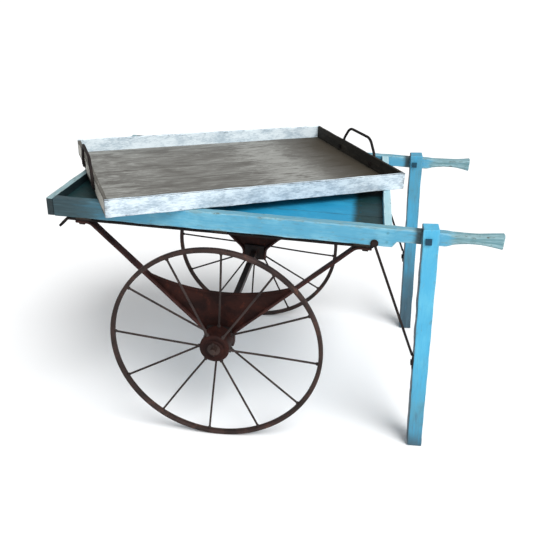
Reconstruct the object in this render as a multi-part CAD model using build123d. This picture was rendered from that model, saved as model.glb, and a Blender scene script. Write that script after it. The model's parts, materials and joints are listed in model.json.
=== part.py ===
from build123d import *
import os
from math import cos, radians, sin

# Two-wheeled wooden hand cart: a shallow box between two long rails that end in handles, two legs,
# spoked iron wheels on a V-shaped iron undercarriage, and a loose tray lying askew on the box.
# Millimetres. X runs from the nose to the handles, Z is up, and the left side is -Y.
# The deck is laid out level, then turned about the axle, because the cart rests handles-down
# on its legs. The origin is moved last to the centre of the overall box, at the ground.

# ---- wheels and axle
WHEEL_DIAMETER = 700.0
RIM_WIDTH = 20.0            # across the tread
RIM_DEPTH = 14.0            # from the tread inwards
RIM_ROUNDING = 4.5
TRACK = 835.0               # between the rims' middle planes
SPOKE_COUNT = 12
SPOKE_DIAMETER = 7.0
SPOKE_PHASE = -7.2          # degrees, first spoke above the +X direction
SPOKE_SEAT = 12.0           # how deep a spoke is set into the hub
SPOKE_HUB_INSET = 8.0       # from the hub's end faces to the spoke rows
SPOKE_RIM_COVER = 4.0       # metal left between a spoke's end and the tread
HUB_DIAMETER = 98.0
HUB_LENGTH = 72.0
HUB_OVERHANG = 14.0         # hub's outer face beyond the rim's middle plane
HUB_ROUNDING = 5.0
JOURNAL_DIAMETER = 20.0
RUNNING_CLEARANCE = 0.05    # radial, hub on journal
END_PLAY = 0.3              # along the axle, at each washer
WASHER_DIAMETER = 42.0
WASHER_THICKNESS = 2.5
AXLE_SQUARE = 22.0
AXLE_TAIL = 16.0            # journal beyond the outer washer
LINCH_PIN_DIAMETER = 4.0
LINCH_PIN_LENGTH = 46.0
LINCH_HEAD_DIAMETER = 8.0
LINCH_HEAD_HEIGHT = 4.0

# ---- deck
REST_SLOPE = 4.0            # degrees, handles down
DECK_OVER_WHEELS = 106.0    # rails' top above the wheels' tops, deck level, so a load may overhang
DECK_WIDTH = 794.0
BOX_FRONT = 534.0           # nose to axle
BOX_REAR = 515.5            # axle to the rear panel's back
RAIL_HEIGHT = 57.0
RAIL_THICKNESS = 30.0
FRONT_BOARD_THICKNESS = 22.0
REAR_BOARD_THICKNESS = 24.0
BOX_DEPTH = 26.0            # rails' top down to the floor
FLOOR_THICKNESS = 14.0
FLOOR_BOARDS = 6
FLOOR_GAP = 2.0
BEARER_HEIGHT = 36.0
BEARER_WIDTH = 50.0
BEARER_SPREAD = 434.0       # axle to the outer bearers
FRAME_BOLT_OFFSET = 12.0    # bolts outside the outer bearers' middles, floor nails inside

# ---- shafts and handles
SHAFT_HEIGHT = 40.0         # rail behind the box
SHAFT_STEP = 12.0           # length of the slope under the rail behind the box
SHAFT_STEP_SETBACK = 4.0
HANDLE_START = 672.0        # axle to the start of the grip
HANDLE_WAIST = 738.0
HANDLE_END = 827.0
WAIST_HEIGHT = 29.0
WAIST_DROP = 1.0            # waist's top above the rails' top
GRIP_END_HEIGHT = 46.0
GRIP_END_RISE = 9.0         # grip end's top above the rails' top
GRIP_ROUNDING = 8.0

# ---- legs and braces
LEG_FRONT = 630.0           # axle to the legs' front faces, standing
LEG_DEPTH = 47.0
LEG_THICKNESS = 56.0
LEG_TOP_ABOVE_RAIL = 10.0
LEG_BOLT_DROP = 24.0        # below the rails' top
LEG_BOLT_FROM_FRONT = 17.0
BRACE_DIAMETER = 8.0
BRACE_EYE_X = 468.0
BRACE_EYE_DROP = 49.0       # eye bolt below the rails' top
BRACE_EYE_DIAMETER = 24.0
BRACE_EYE_THICKNESS = 5.0
BRACE_STANDOFF = 0.2        # rod clear of the rail's and the leg's faces
BRACE_FOOT_TOP = 350.0      # above the ground
BRACE_FOOT_LENGTH = 48.0
BRACE_FOOT_WIDTH = 17.0
BRACE_FOOT_THICKNESS = 4.0
BRACE_SCREW_DROP = 26.0
BRACE_SCREW_LENGTH = 38.0   # under the head

# ---- iron undercarriage
BAR_WIDTH = 30.0
BAR_THICKNESS = 8.0
STRAP_FRONT = 492.0         # axle to the strap's front bend
STRAP_REAR = 469.0
HOOK_REACH = 27.0
HOOK_DROP = 28.0
HOOK_RADIUS = 14.0
ARM_TAB_END = 465.0         # axle to the outer end of an arm's tab
ARM_BEND = 418.0            # axle to the bend below the strap
ARM_BEND_RADIUS = 32.0
ARM_KNEE_RADIUS = 40.0
BLOCK_HALF_WIDTH = 42.0
BLOCK_ABOVE_AXLE = 36.0
BLOCK_BELOW_AXLE = 30.0
GUSSET_THICKNESS = 6.0
GUSSET_FOOT_RISE = 12.0     # web's lower ends above the axle, between block and arms
GUSSET_CORNER_RISE = 206.0  # top corners above the axle
GUSSET_MIDDLE_RISE = 158.0  # lowest point of the top edge above the axle
GUSSET_BEAD_DIAMETER = 11.0

# ---- tray
TRAY_LENGTH = 986.0
TRAY_WIDTH = 676.0
TRAY_HEIGHT = 54.0
TRAY_WALL = 10.0
TRAY_FLOOR = 8.0
TRAY_PLANKS = 5
TRAY_PLANK_GAP = 0.6
TRAY_TURN = 29.8            # degrees about the vertical
TRAY_AFT = -36.0            # tray's middle from the axle
TRAY_SIDE = 24.0
TRAY_GAP = 0.3              # between the tray and the rails' tops
TRAY_ROD = 10.0
TRAY_HANDLE_FOOT = 120.0    # half the distance between a handle's feet
TRAY_HANDLE_TOP_HALF = 78.0
TRAY_HANDLE_RISE = 51.0     # rod's middle above the wall's top
TRAY_HANDLE_RADIUS = 28.0
TRAY_ROD_STANDOFF = 0.2     # rod clear of the wall's face
LUG_DIAMETER = 24.0
LUG_THICKNESS = 4.0
LUG_RISE = 24.0             # lug bolt above the tray's underside

# ---- fasteners
BOLT_DIAMETER = 10.0
BOLT_HEAD = 18.0            # across the flats of a square head
BOLT_HEAD_THICKNESS = 6.0
SMALL_BOLT_DIAMETER = 6.0
SMALL_BOLT_HEAD = 14.0
SMALL_BOLT_HEAD_THICKNESS = 4.0
BOLT_CLEARANCE = 0.2        # radial, bolt in its hole
BOLT_TAIL = 2.0             # thread beyond the nut
NAIL_DIAMETER = 3.0
NAIL_HEAD_DIAMETER = 8.0
NAIL_HEAD_THICKNESS = 1.2
FLOOR_NAIL_LENGTH = 34.0
END_NAIL_LENGTH = 62.0
TRAY_NAIL_LENGTH = 40.0
TRAY_NAIL_INSET = 13.0      # from the wall's edges

# ---- worked out
WHEEL_RADIUS = WHEEL_DIAMETER / 2
DECK_TOP = WHEEL_DIAMETER + DECK_OVER_WHEELS            # above the wheels' lowest point, deck level
HUB_OUTER = TRACK / 2 + HUB_OVERHANG
HUB_INNER = HUB_OUTER - HUB_LENGTH
FRAME_OUTER = HUB_INNER - END_PLAY - WASHER_THICKNESS   # outer face of bars and axle block
FRAME_MIDDLE = FRAME_OUTER - BAR_WIDTH / 2
RAIL_OUTER = DECK_WIDTH / 2
RAIL_INNER = RAIL_OUTER - RAIL_THICKNESS
RAIL_MIDDLE = RAIL_OUTER - RAIL_THICKNESS / 2
RAIL_BOTTOM = DECK_TOP - RAIL_HEIGHT
BRACE_LINE = RAIL_OUTER + BRACE_STANDOFF + BRACE_DIAMETER / 2
FLOOR_TOP = DECK_TOP - BOX_DEPTH
BEARER_TOP = FLOOR_TOP - FLOOR_THICKNESS
BEARER_BOTTOM = BEARER_TOP - BEARER_HEIGHT
STRAP_BOTTOM = BEARER_BOTTOM - BAR_THICKNESS
TAB_BOTTOM = STRAP_BOTTOM - BAR_THICKNESS
BOX_INSIDE_FRONT = -BOX_FRONT + FRONT_BOARD_THICKNESS
BOX_INSIDE_REAR = BOX_REAR - REAR_BOARD_THICKNESS
BEARER_PLACES = (-BEARER_SPREAD, 0.0, BEARER_SPREAD)
RISE = DECK_TOP - WHEEL_RADIUS                          # axle to the rails' top, deck level
AXLE = Axis((0, 0, WHEEL_RADIUS), (0, 1, 0))


def on_legs(shape):
    """Turn a level deck piece about the axle into the standing position."""
    return shape.rotate(AXLE, REST_SLOPE)


def standing_point(x, z):
    """Where a point of the level deck comes to when the cart stands on its legs."""
    angle = radians(REST_SLOPE)
    height = z - WHEEL_RADIUS
    return x * cos(angle) + height * sin(angle), WHEEL_RADIUS - x * sin(angle) + height * cos(angle)


def standing_deck_height(x):
    """Height of the rails' top above the ground at a standing x."""
    angle = radians(REST_SLOPE)
    return WHEEL_RADIUS + (RISE - x * sin(angle)) / cos(angle)


def block(low, high):
    """Box between two opposite corners."""
    size = [high[i] - low[i] for i in range(3)]
    middle = [(high[i] + low[i]) / 2 for i in range(3)]
    return Pos(*middle) * Box(*size)


def rod(start, end, diameter):
    """Round bar between two points."""
    run = Vector(*end) - Vector(*start)
    return extrude(Plane(origin=start, z_dir=run) * Circle(diameter / 2), run.length)


def to_right(shape):
    """Right-hand twin of a left-hand piece."""
    return shape.mirror(Plane.XZ)


def group(solids):
    """Several separate solids in one node."""
    return Compound(children=list(solids))


def cut(body, tools):
    """Body with every tool taken out of it."""
    for tool in tools:
        body = body - tool
    return body


def flat_bar(path):
    """Flat bar, wide across the cart, along a path in the left frame's plane."""
    start = path @ 0
    along = path % 0
    section = Plane(origin=start, x_dir=(0, 1, 0), z_dir=along) * Rectangle(BAR_WIDTH, BAR_THICKNESS)
    return sweep(section, path=path)


def square_bolt(head, tip, diameter, across, thickness):
    """Bolt with a square head before the head point and a square nut inside the tip point."""
    start, end = Vector(*head), Vector(*tip)
    run = (end - start).normalized()
    shank = rod(tuple(start), tuple(end + run * (thickness + BOLT_TAIL)), diameter)
    sides = Plane(origin=start, z_dir=run) * Rectangle(across, across)
    far = Plane(origin=end, z_dir=run) * Rectangle(across, across)
    return shank + extrude(sides, -thickness) + extrude(far, thickness)


def coach_screw(head, tip, diameter, across, thickness):
    """Square-headed screw that ends inside the wood, at the tip point."""
    start = Vector(*head)
    run = (Vector(*tip) - start).normalized()
    sides = Plane(origin=start, z_dir=run) * Rectangle(across, across)
    return rod(head, tip, diameter) + extrude(sides, -thickness)


def bolt_hole(head, tip, diameter):
    """Clearance hole for a bolt, longer than the bolt at both ends."""
    start, end = Vector(*head), Vector(*tip)
    run = (end - start).normalized()
    spare = 2 * BOLT_DIAMETER
    return rod(tuple(start - run * spare), tuple(end + run * spare), diameter + 2 * BOLT_CLEARANCE)


def nail(head, direction, length):
    """Wire nail with its head's top at the head point."""
    top = Vector(*head)
    run = Vector(*direction)
    disc = rod(tuple(top), tuple(top + run * NAIL_HEAD_THICKNESS), NAIL_HEAD_DIAMETER)
    return disc + rod(tuple(top), tuple(top + run * length), NAIL_DIAMETER)


# ---- wheels -------------------------------------------------------------------------------------

def left_spokes():
    """Twelve rods, set by turns in the outer and the inner end of the hub."""
    rows = (HUB_OUTER - SPOKE_HUB_INSET, HUB_INNER + SPOKE_HUB_INSET)
    inner = HUB_DIAMETER / 2 - SPOKE_SEAT
    outer = WHEEL_RADIUS - SPOKE_RIM_COVER
    spokes = []
    for number in range(SPOKE_COUNT):
        angle = radians(SPOKE_PHASE + number * 360 / SPOKE_COUNT)
        foot = rows[number % 2]
        start = (inner * cos(angle), -foot, WHEEL_RADIUS + inner * sin(angle))
        end = (outer * cos(angle), -TRACK / 2, WHEEL_RADIUS + outer * sin(angle))
        spokes.append(rod(start, end, SPOKE_DIAMETER))
    return spokes


def left_rim(spokes):
    """Iron tyre with rounded edges and a seat for each spoke."""
    ring = Cylinder(WHEEL_RADIUS, RIM_WIDTH) - Cylinder(WHEEL_RADIUS - RIM_DEPTH, RIM_WIDTH)
    ring = fillet(ring.edges().filter_by(GeomType.CIRCLE), RIM_ROUNDING)
    ring = Pos(0, -TRACK / 2, WHEEL_RADIUS) * Rot(90, 0, 0) * ring
    return cut(ring, spokes)


def left_hub(spokes):
    """Drum hub, bored to run on the axle's journal."""
    drum = Cylinder(HUB_DIAMETER / 2, HUB_LENGTH)
    drum = fillet(drum.edges().filter_by(GeomType.CIRCLE), HUB_ROUNDING)
    drum -= Cylinder(JOURNAL_DIAMETER / 2 + RUNNING_CLEARANCE, HUB_LENGTH)
    drum = Pos(0, -(HUB_OUTER + HUB_INNER) / 2, WHEEL_RADIUS) * Rot(90, 0, 0) * drum
    return cut(drum, spokes)


def across(low, high, diameter, bore=0.0):
    """Round piece along the axle, between two places on the left, as positive distances."""
    piece = rod((0, -low, WHEEL_RADIUS), (0, -high, WHEEL_RADIUS), diameter)
    return piece - rod((0, -low, WHEEL_RADIUS), (0, -high, WHEEL_RADIUS), bore) if bore else piece


OUTER_WASHER_IN = HUB_OUTER + END_PLAY
OUTER_WASHER_OUT = OUTER_WASHER_IN + WASHER_THICKNESS
JOURNAL_END = OUTER_WASHER_OUT + AXLE_TAIL
LINCH_PLACE = OUTER_WASHER_OUT + LINCH_PIN_DIAMETER / 2 + END_PLAY


def left_washers():
    """Washers at the hub's inner and outer ends."""
    bore = JOURNAL_DIAMETER + 2 * RUNNING_CLEARANCE
    return [across(FRAME_OUTER, FRAME_OUTER + WASHER_THICKNESS, WASHER_DIAMETER, bore),
            across(OUTER_WASHER_IN, OUTER_WASHER_OUT, WASHER_DIAMETER, bore)]


def left_linch_pin():
    """Pin that keeps the outer washer on."""
    half = LINCH_PIN_LENGTH / 2
    low, high = (0, -LINCH_PLACE, WHEEL_RADIUS - half), (0, -LINCH_PLACE, WHEEL_RADIUS + half)
    tip = (0, -LINCH_PLACE, WHEEL_RADIUS + half + LINCH_HEAD_HEIGHT)
    return rod(low, high, LINCH_PIN_DIAMETER) + rod(high, tip, LINCH_HEAD_DIAMETER)


def axle(pins):
    """Square axle with round journals and a hole at each end for the linch pin."""
    half = AXLE_SQUARE / 2
    bar = block((-half, -FRAME_OUTER, WHEEL_RADIUS - half), (half, FRAME_OUTER, WHEEL_RADIUS + half))
    journal = across(FRAME_OUTER, JOURNAL_END, JOURNAL_DIAMETER)
    bar = on_legs(bar) + journal + to_right(journal)
    return cut(bar, pins)


# ---- deck ---------------------------------------------------------------------------------------

def left_rail():
    """Side rail from the front board to the grip, shaped from one plank."""
    shaft_bottom = DECK_TOP - SHAFT_HEIGHT
    waist_top = DECK_TOP + WAIST_DROP
    end_top = DECK_TOP + GRIP_END_RISE
    step = BOX_REAR + SHAFT_STEP_SETBACK
    outline = Polyline((HANDLE_START, 0, DECK_TOP), (BOX_INSIDE_FRONT, 0, DECK_TOP),
                       (BOX_INSIDE_FRONT, 0, RAIL_BOTTOM), (step, 0, RAIL_BOTTOM),
                       (step + SHAFT_STEP, 0, shaft_bottom), (HANDLE_START, 0, shaft_bottom))
    under = Spline((HANDLE_START, 0, shaft_bottom), (HANDLE_WAIST, 0, waist_top - WAIST_HEIGHT),
                   (HANDLE_END, 0, end_top - GRIP_END_HEIGHT))
    tip = Line((HANDLE_END, 0, end_top - GRIP_END_HEIGHT), (HANDLE_END, 0, end_top))
    over = Spline((HANDLE_END, 0, end_top), (HANDLE_WAIST, 0, waist_top), (HANDLE_START, 0, DECK_TOP))
    face = make_face(outline.edges() + [under.edge(), tip.edge(), over.edge()])
    rail = Pos(0, -RAIL_OUTER, 0) * extrude(face, RAIL_THICKNESS, dir=(0, 1, 0))
    grip = (HANDLE_END - HANDLE_START) / 2
    long_edges = [e for e in rail.edges() if e.center().X > HANDLE_START and e.length > grip]
    return fillet(long_edges, GRIP_ROUNDING)


def front_board():
    """Board nailed across the rails' front ends."""
    return block((-BOX_FRONT, -RAIL_OUTER, RAIL_BOTTOM), (BOX_INSIDE_FRONT, RAIL_OUTER, DECK_TOP))


def rear_board():
    """Panel between the rails at the back of the box."""
    return block((BOX_INSIDE_REAR, -RAIL_INNER, RAIL_BOTTOM), (BOX_REAR, RAIL_INNER, DECK_TOP))


def floor_lanes():
    """Low and high edge of each floor board across the cart."""
    pitch = (2 * RAIL_INNER + FLOOR_GAP) / FLOOR_BOARDS
    return [(-RAIL_INNER + n * pitch, -RAIL_INNER + (n + 1) * pitch - FLOOR_GAP)
            for n in range(FLOOR_BOARDS)]


def floor_nails(lane):
    """Two nails through a floor board into each bearer."""
    quarter = (lane[1] - lane[0]) / 4
    inside = BEARER_SPREAD - FRAME_BOLT_OFFSET
    return [nail((x, y, FLOOR_TOP), (0, 0, -1), FLOOR_NAIL_LENGTH)
            for x in (-inside, 0.0, inside) for y in (lane[0] + quarter, lane[1] - quarter)]


def end_nails():
    """Nails through the front board and through the rails into the rear panel, left side."""
    heights = [RAIL_BOTTOM + RAIL_HEIGHT * quarter / 4 for quarter in (1, 2, 3)]
    front = [nail((-BOX_FRONT, -RAIL_MIDDLE, z), (1, 0, 0), END_NAIL_LENGTH) for z in heights]
    middle = (BOX_INSIDE_REAR + BOX_REAR) / 2
    rear = [nail((middle, -RAIL_OUTER, z), (0, 1, 0), END_NAIL_LENGTH) for z in heights[::2]]
    return front + rear


def frame_bolts():
    """Bolts up through tab, strap and bearer, as head and tip points, left side."""
    return [((x, -FRAME_MIDDLE, TAB_BOTTOM), (x, -FRAME_MIDDLE, BEARER_TOP - BOLT_HEAD_THICKNESS
                                             - BOLT_TAIL))
            for x in (-BEARER_SPREAD - FRAME_BOLT_OFFSET, BEARER_SPREAD + FRAME_BOLT_OFFSET)]


def nut_pocket(tip):
    """Pocket in a bearer's top for a bolt's nut."""
    half = BOLT_HEAD / 2 + BOLT_CLEARANCE
    return block((tip[0] - half, tip[1] - half, tip[2]), (tip[0] + half, tip[1] + half, BEARER_TOP))


def bearer(x):
    """Cross bearer under the floor, between the rails and below them."""
    half = BEARER_WIDTH / 2
    return block((x - half, -RAIL_INNER, BEARER_BOTTOM), (x + half, RAIL_INNER, BEARER_TOP))


# ---- undercarriage ------------------------------------------------------------------------------

def left_strap():
    """Flat bar under the bearers, with a hook turned down at the front."""
    level = BEARER_BOTTOM - BAR_THICKNESS / 2
    path = FilletPolyline((STRAP_REAR, -FRAME_MIDDLE, level), (-STRAP_FRONT, -FRAME_MIDDLE, level),
                          (-STRAP_FRONT - HOOK_REACH, -FRAME_MIDDLE, level - HOOK_DROP),
                          radius=HOOK_RADIUS)
    return flat_bar(path)


def left_arm(toward):
    """Arm from a tab under the strap down to the axle block; toward is -1 front or 1 rear."""
    level = STRAP_BOTTOM - BAR_THICKNESS / 2
    inner = BLOCK_HALF_WIDTH + BAR_THICKNESS / 2
    points = [(ARM_TAB_END, level), (ARM_BEND, level), (inner, WHEEL_RADIUS + BLOCK_ABOVE_AXLE / 2),
              (inner, WHEEL_RADIUS - BLOCK_BELOW_AXLE)]
    path = FilletPolyline(*[(toward * x, -FRAME_MIDDLE, z) for x, z in points],
                          radius=[ARM_BEND_RADIUS, ARM_KNEE_RADIUS])
    return flat_bar(path)


def left_axle_block():
    """Iron block that holds the square axle between the arms."""
    half = AXLE_SQUARE / 2
    body = block((-BLOCK_HALF_WIDTH, -FRAME_OUTER, WHEEL_RADIUS - BLOCK_BELOW_AXLE),
                 (BLOCK_HALF_WIDTH, -FRAME_OUTER + BAR_WIDTH, WHEEL_RADIUS + BLOCK_ABOVE_AXLE))
    hole = block((-half, -RAIL_OUTER, WHEEL_RADIUS - half), (half, 0, WHEEL_RADIUS + half))
    return body - hole


def left_gusset(arms, axle_block):
    """Web plate between the arms and the axle block, with a rolled bead along its hollow top edge."""
    corner = WHEEL_RADIUS + GUSSET_CORNER_RISE
    middle = WHEEL_RADIUS + GUSSET_MIDDLE_RISE
    foot = WHEEL_RADIUS + GUSSET_FOOT_RISE
    turn = WHEEL_RADIUS + BLOCK_ABOVE_AXLE / 2
    knee = BLOCK_HALF_WIDTH + BAR_THICKNESS / 2
    slope = (ARM_BEND - knee) / (STRAP_BOTTOM - BAR_THICKNESS / 2 - turn)
    reach = knee + slope * (corner - turn)
    top = ThreePointArc((-reach, 0, corner), (0, 0, middle), (reach, 0, corner))
    rest = Polyline((reach, 0, corner), (knee, 0, turn), (knee, 0, foot), (-knee, 0, foot),
                    (-knee, 0, turn), (-reach, 0, corner))
    face = make_face(top.edges() + rest.edges())
    plate = Pos(0, -FRAME_MIDDLE - GUSSET_THICKNESS / 2, 0) * extrude(face, GUSSET_THICKNESS,
                                                                    dir=(0, 1, 0))
    edge = Pos(0, -FRAME_MIDDLE, 0) * top
    bead = sweep(Plane(origin=edge @ 0, z_dir=edge % 0) * Circle(GUSSET_BEAD_DIAMETER / 2), path=edge)
    pieces = cut(plate + bead, [axle_block, *arms]).solids()
    return max(pieces, key=lambda piece: piece.volume)


# ---- legs and braces ----------------------------------------------------------------------------

def leg_bolt():
    """Head and tip of the bolt through the left leg and shaft."""
    x = LEG_FRONT + LEG_BOLT_FROM_FRONT
    z = standing_deck_height(x) - LEG_BOLT_DROP
    return (x, -RAIL_MIDDLE - LEG_THICKNESS / 2, z), (x, -RAIL_MIDDLE + LEG_THICKNESS / 2, z)


def left_leg(rail):
    """Leg with a mortise that the shaft passes through, square on the ground."""
    half = LEG_THICKNESS / 2
    top = standing_deck_height(LEG_FRONT) + LEG_TOP_ABOVE_RAIL
    post = block((LEG_FRONT, -RAIL_MIDDLE - half, 0), (LEG_FRONT + LEG_DEPTH, -RAIL_MIDDLE + half, top))
    return post - rail - bolt_hole(*leg_bolt(), BOLT_DIAMETER)


def brace_bolt():
    """Head and tip of the bolt through the left brace's eye and the rail."""
    x, z = standing_point(BRACE_EYE_X, DECK_TOP - BRACE_EYE_DROP)
    return (x, -RAIL_OUTER - BRACE_EYE_THICKNESS, z), (x, -RAIL_INNER, z)


def brace_screw():
    """Head and tip of the screw through the left brace's foot into the leg."""
    x = LEG_FRONT - BRACE_FOOT_THICKNESS
    z = BRACE_FOOT_TOP - BRACE_SCREW_DROP
    return (x, -BRACE_LINE, z), (x + BRACE_SCREW_LENGTH, -BRACE_LINE, z)


def left_brace():
    """Round rod from an eye on the rail to a flattened foot on the leg's front face."""
    eye_x, eye_z = standing_point(BRACE_EYE_X, DECK_TOP - BRACE_EYE_DROP)
    foot_x = LEG_FRONT - BRACE_STANDOFF - BRACE_DIAMETER / 2
    eye = rod((eye_x, -RAIL_OUTER - BRACE_EYE_THICKNESS, eye_z), (eye_x, -RAIL_OUTER, eye_z),
              BRACE_EYE_DIAMETER)
    stem = rod((eye_x, -BRACE_LINE, eye_z), (foot_x, -BRACE_LINE, BRACE_FOOT_TOP), BRACE_DIAMETER)
    ball = Pos(foot_x, -BRACE_LINE, BRACE_FOOT_TOP) * Sphere(BRACE_DIAMETER / 2)
    near, far = BRACE_LINE + BRACE_FOOT_WIDTH / 2, BRACE_LINE - BRACE_FOOT_WIDTH / 2
    foot = block((LEG_FRONT - BRACE_FOOT_THICKNESS, -near, BRACE_FOOT_TOP - BRACE_FOOT_LENGTH),
                 (LEG_FRONT, -far, BRACE_FOOT_TOP + BRACE_DIAMETER / 2))
    head, tip = brace_bolt()
    sink = rod((head[0], head[1], head[2]), (head[0], head[1] - BRACE_EYE_DIAMETER, head[2]),
               BRACE_EYE_DIAMETER)
    brace = eye + (stem - sink) + ball + foot
    brace -= bolt_hole(head, tip, SMALL_BOLT_DIAMETER)
    return brace - bolt_hole(*brace_screw(), SMALL_BOLT_DIAMETER)


# ---- tray ---------------------------------------------------------------------------------------

def on_box(shape):
    """Put a tray piece, drawn about the tray's own middle and underside, on the cart."""
    return on_legs(Pos(TRAY_AFT, TRAY_SIDE, DECK_TOP + TRAY_GAP) * Rot(0, 0, TRAY_TURN) * shape)


def tray_planks():
    """Floor planks of the tray, between its walls."""
    inside = TRAY_WIDTH - 2 * TRAY_WALL
    pitch = (inside + TRAY_PLANK_GAP) / TRAY_PLANKS
    end = TRAY_LENGTH / 2 - TRAY_WALL
    return [block((-end, -inside / 2 + n * pitch, 0),
                  (end, -inside / 2 + (n + 1) * pitch - TRAY_PLANK_GAP, TRAY_FLOOR))
            for n in range(TRAY_PLANKS)]


def tray_side():
    """Long wall of the tray on its -Y side."""
    half = TRAY_WIDTH / 2
    return block((-TRAY_LENGTH / 2, -half, 0), (TRAY_LENGTH / 2, -half + TRAY_WALL, TRAY_HEIGHT))


def tray_end():
    """Short wall of the tray at its +X end, between the long walls."""
    half = TRAY_WIDTH / 2 - TRAY_WALL
    return block((TRAY_LENGTH / 2 - TRAY_WALL, -half, 0), (TRAY_LENGTH / 2, half, TRAY_HEIGHT))


def tray_handle_bolts():
    """Head and tip points of the bolts through the +X handle's lugs and the wall."""
    face = TRAY_LENGTH / 2
    return [((face + LUG_THICKNESS, side * TRAY_HANDLE_FOOT, LUG_RISE),
             (face - TRAY_WALL, side * TRAY_HANDLE_FOOT, LUG_RISE)) for side in (-1, 1)]


def tray_handle():
    """Bent iron rod standing above the +X wall, with a flattened lug at each foot."""
    face = TRAY_LENGTH / 2
    line = face + TRAY_ROD / 2 + TRAY_ROD_STANDOFF
    top = TRAY_HEIGHT + TRAY_HANDLE_RISE
    half = [(TRAY_HANDLE_FOOT, LUG_RISE), (TRAY_HANDLE_FOOT, TRAY_HEIGHT), (TRAY_HANDLE_TOP_HALF, top)]
    points = [(line, y, z) for y, z in half] + [(line, -y, z) for y, z in reversed(half)]
    path = FilletPolyline(*points, radius=TRAY_HANDLE_RADIUS)
    loop = sweep(Plane(origin=points[0], z_dir=path % 0) * Circle(TRAY_ROD / 2), path=path)
    for head, tip in tray_handle_bolts():
        lug = rod(head, (face, head[1], head[2]), LUG_DIAMETER)
        loop -= rod(head, (head[0] + TRAY_ROD, head[1], head[2]), LUG_DIAMETER)
        loop = loop + lug - bolt_hole(head, tip, SMALL_BOLT_DIAMETER)
    return loop


def tray_nails():
    """Two nails through the -Y long wall into each short wall."""
    half = TRAY_WIDTH / 2
    middle = TRAY_LENGTH / 2 - TRAY_WALL / 2
    return [nail((x, -half, z), (0, 1, 0), TRAY_NAIL_LENGTH)
            for x in (-middle, middle) for z in (TRAY_NAIL_INSET, TRAY_HEIGHT - TRAY_NAIL_INSET)]


# ---- assembly -----------------------------------------------------------------------------------

def wheel_nodes():
    """Both wheels, the axle and what keeps the wheels on it."""
    nodes = {}
    spokes = left_spokes()
    pieces = {"rim": left_rim(spokes), "hub": left_hub(spokes), "spokes": group(spokes)}
    for name, piece in pieces.items():
        nodes["left_wheel_" + name] = piece
        nodes["right_wheel_" + name] = (group([to_right(s) for s in spokes]) if name == "spokes"
                                        else to_right(piece))
    washers = left_washers()
    pins = [left_linch_pin(), to_right(left_linch_pin())]
    nodes["axle_washers"] = group(washers + [to_right(w) for w in washers])
    nodes["linch_pins"] = group(pins)
    nodes["axle"] = axle(pins)
    return nodes


def deck_nodes():
    """Rails, boards, bearers, legs, braces and their fasteners."""
    nodes = {}
    nails = end_nails() + [to_right(n) for n in end_nails()]
    left_bolts = frame_bolts()
    eye_head, eye_tip = brace_bolt()
    rail = on_legs(cut(left_rail(), end_nails()))
    small_sizes = SMALL_BOLT_DIAMETER, SMALL_BOLT_HEAD, SMALL_BOLT_HEAD_THICKNESS
    screw = coach_screw(*brace_screw(), *small_sizes)
    leg = left_leg(rail) - screw
    rail = cut(rail, [bolt_hole(eye_head, eye_tip, SMALL_BOLT_DIAMETER),
                      bolt_hole(*leg_bolt(), BOLT_DIAMETER)])
    for name, piece in (("side_rail", rail), ("leg", leg), ("leg_brace", left_brace())):
        nodes["left_" + name] = piece
        nodes["right_" + name] = to_right(piece)
    nodes["front_board"] = on_legs(cut(front_board(), nails))
    nodes["rear_board"] = on_legs(cut(rear_board(), nails))
    nodes["box_nails"] = group([on_legs(n) for n in nails])
    driven = []
    for number, lane in enumerate(floor_lanes(), 1):
        own = floor_nails(lane)
        driven += own
        board = block((BOX_INSIDE_FRONT, lane[0], BEARER_TOP), (BOX_INSIDE_REAR, lane[1], FLOOR_TOP))
        nodes[f"floor_board_{number}"] = on_legs(cut(board, own))
    nodes["floor_nails"] = group([on_legs(n) for n in driven])
    for name, x in zip(("front", "middle", "rear"), BEARER_PLACES):
        near = [b for b in left_bolts if abs(b[0][0] - x) < BEARER_WIDTH]
        holes = [bolt_hole(*b, BOLT_DIAMETER) for b in near] + [nut_pocket(b[1]) for b in near]
        holes += [to_right(h) for h in holes] + [n for n in driven if abs(n.center().X - x) < BEARER_WIDTH]
        nodes[f"{name}_bearer"] = on_legs(cut(bearer(x), holes))
    leg_bolts = [square_bolt(*leg_bolt(), BOLT_DIAMETER, BOLT_HEAD, BOLT_HEAD_THICKNESS)]
    nodes["leg_bolts"] = group(leg_bolts + [to_right(b) for b in leg_bolts])
    small = [square_bolt(*brace_bolt(), *small_sizes), screw]
    nodes["brace_bolts"] = group(small + [to_right(b) for b in small])
    return nodes


def undercarriage_nodes():
    """Straps, arms, gussets and axle blocks on both sides, with their bolts."""
    nodes = {}
    ends = frame_bolts()
    holes = [bolt_hole(*pair, BOLT_DIAMETER) for pair in ends]
    arms = {"front_arm": left_arm(-1), "rear_arm": left_arm(1)}
    axle_block = left_axle_block()
    pieces = {"strap": cut(left_strap(), holes), "axle_block": axle_block,
              "gusset": left_gusset(arms.values(), axle_block)}
    pieces.update({name: cut(arm, holes) for name, arm in arms.items()})
    for name, piece in pieces.items():
        nodes["left_" + name] = on_legs(piece)
        nodes["right_" + name] = to_right(nodes["left_" + name])
    bolts = [on_legs(square_bolt(*pair, BOLT_DIAMETER, BOLT_HEAD, BOLT_HEAD_THICKNESS)) for pair in ends]
    nodes["frame_bolts"] = group(bolts + [to_right(b) for b in bolts])
    return nodes


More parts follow.
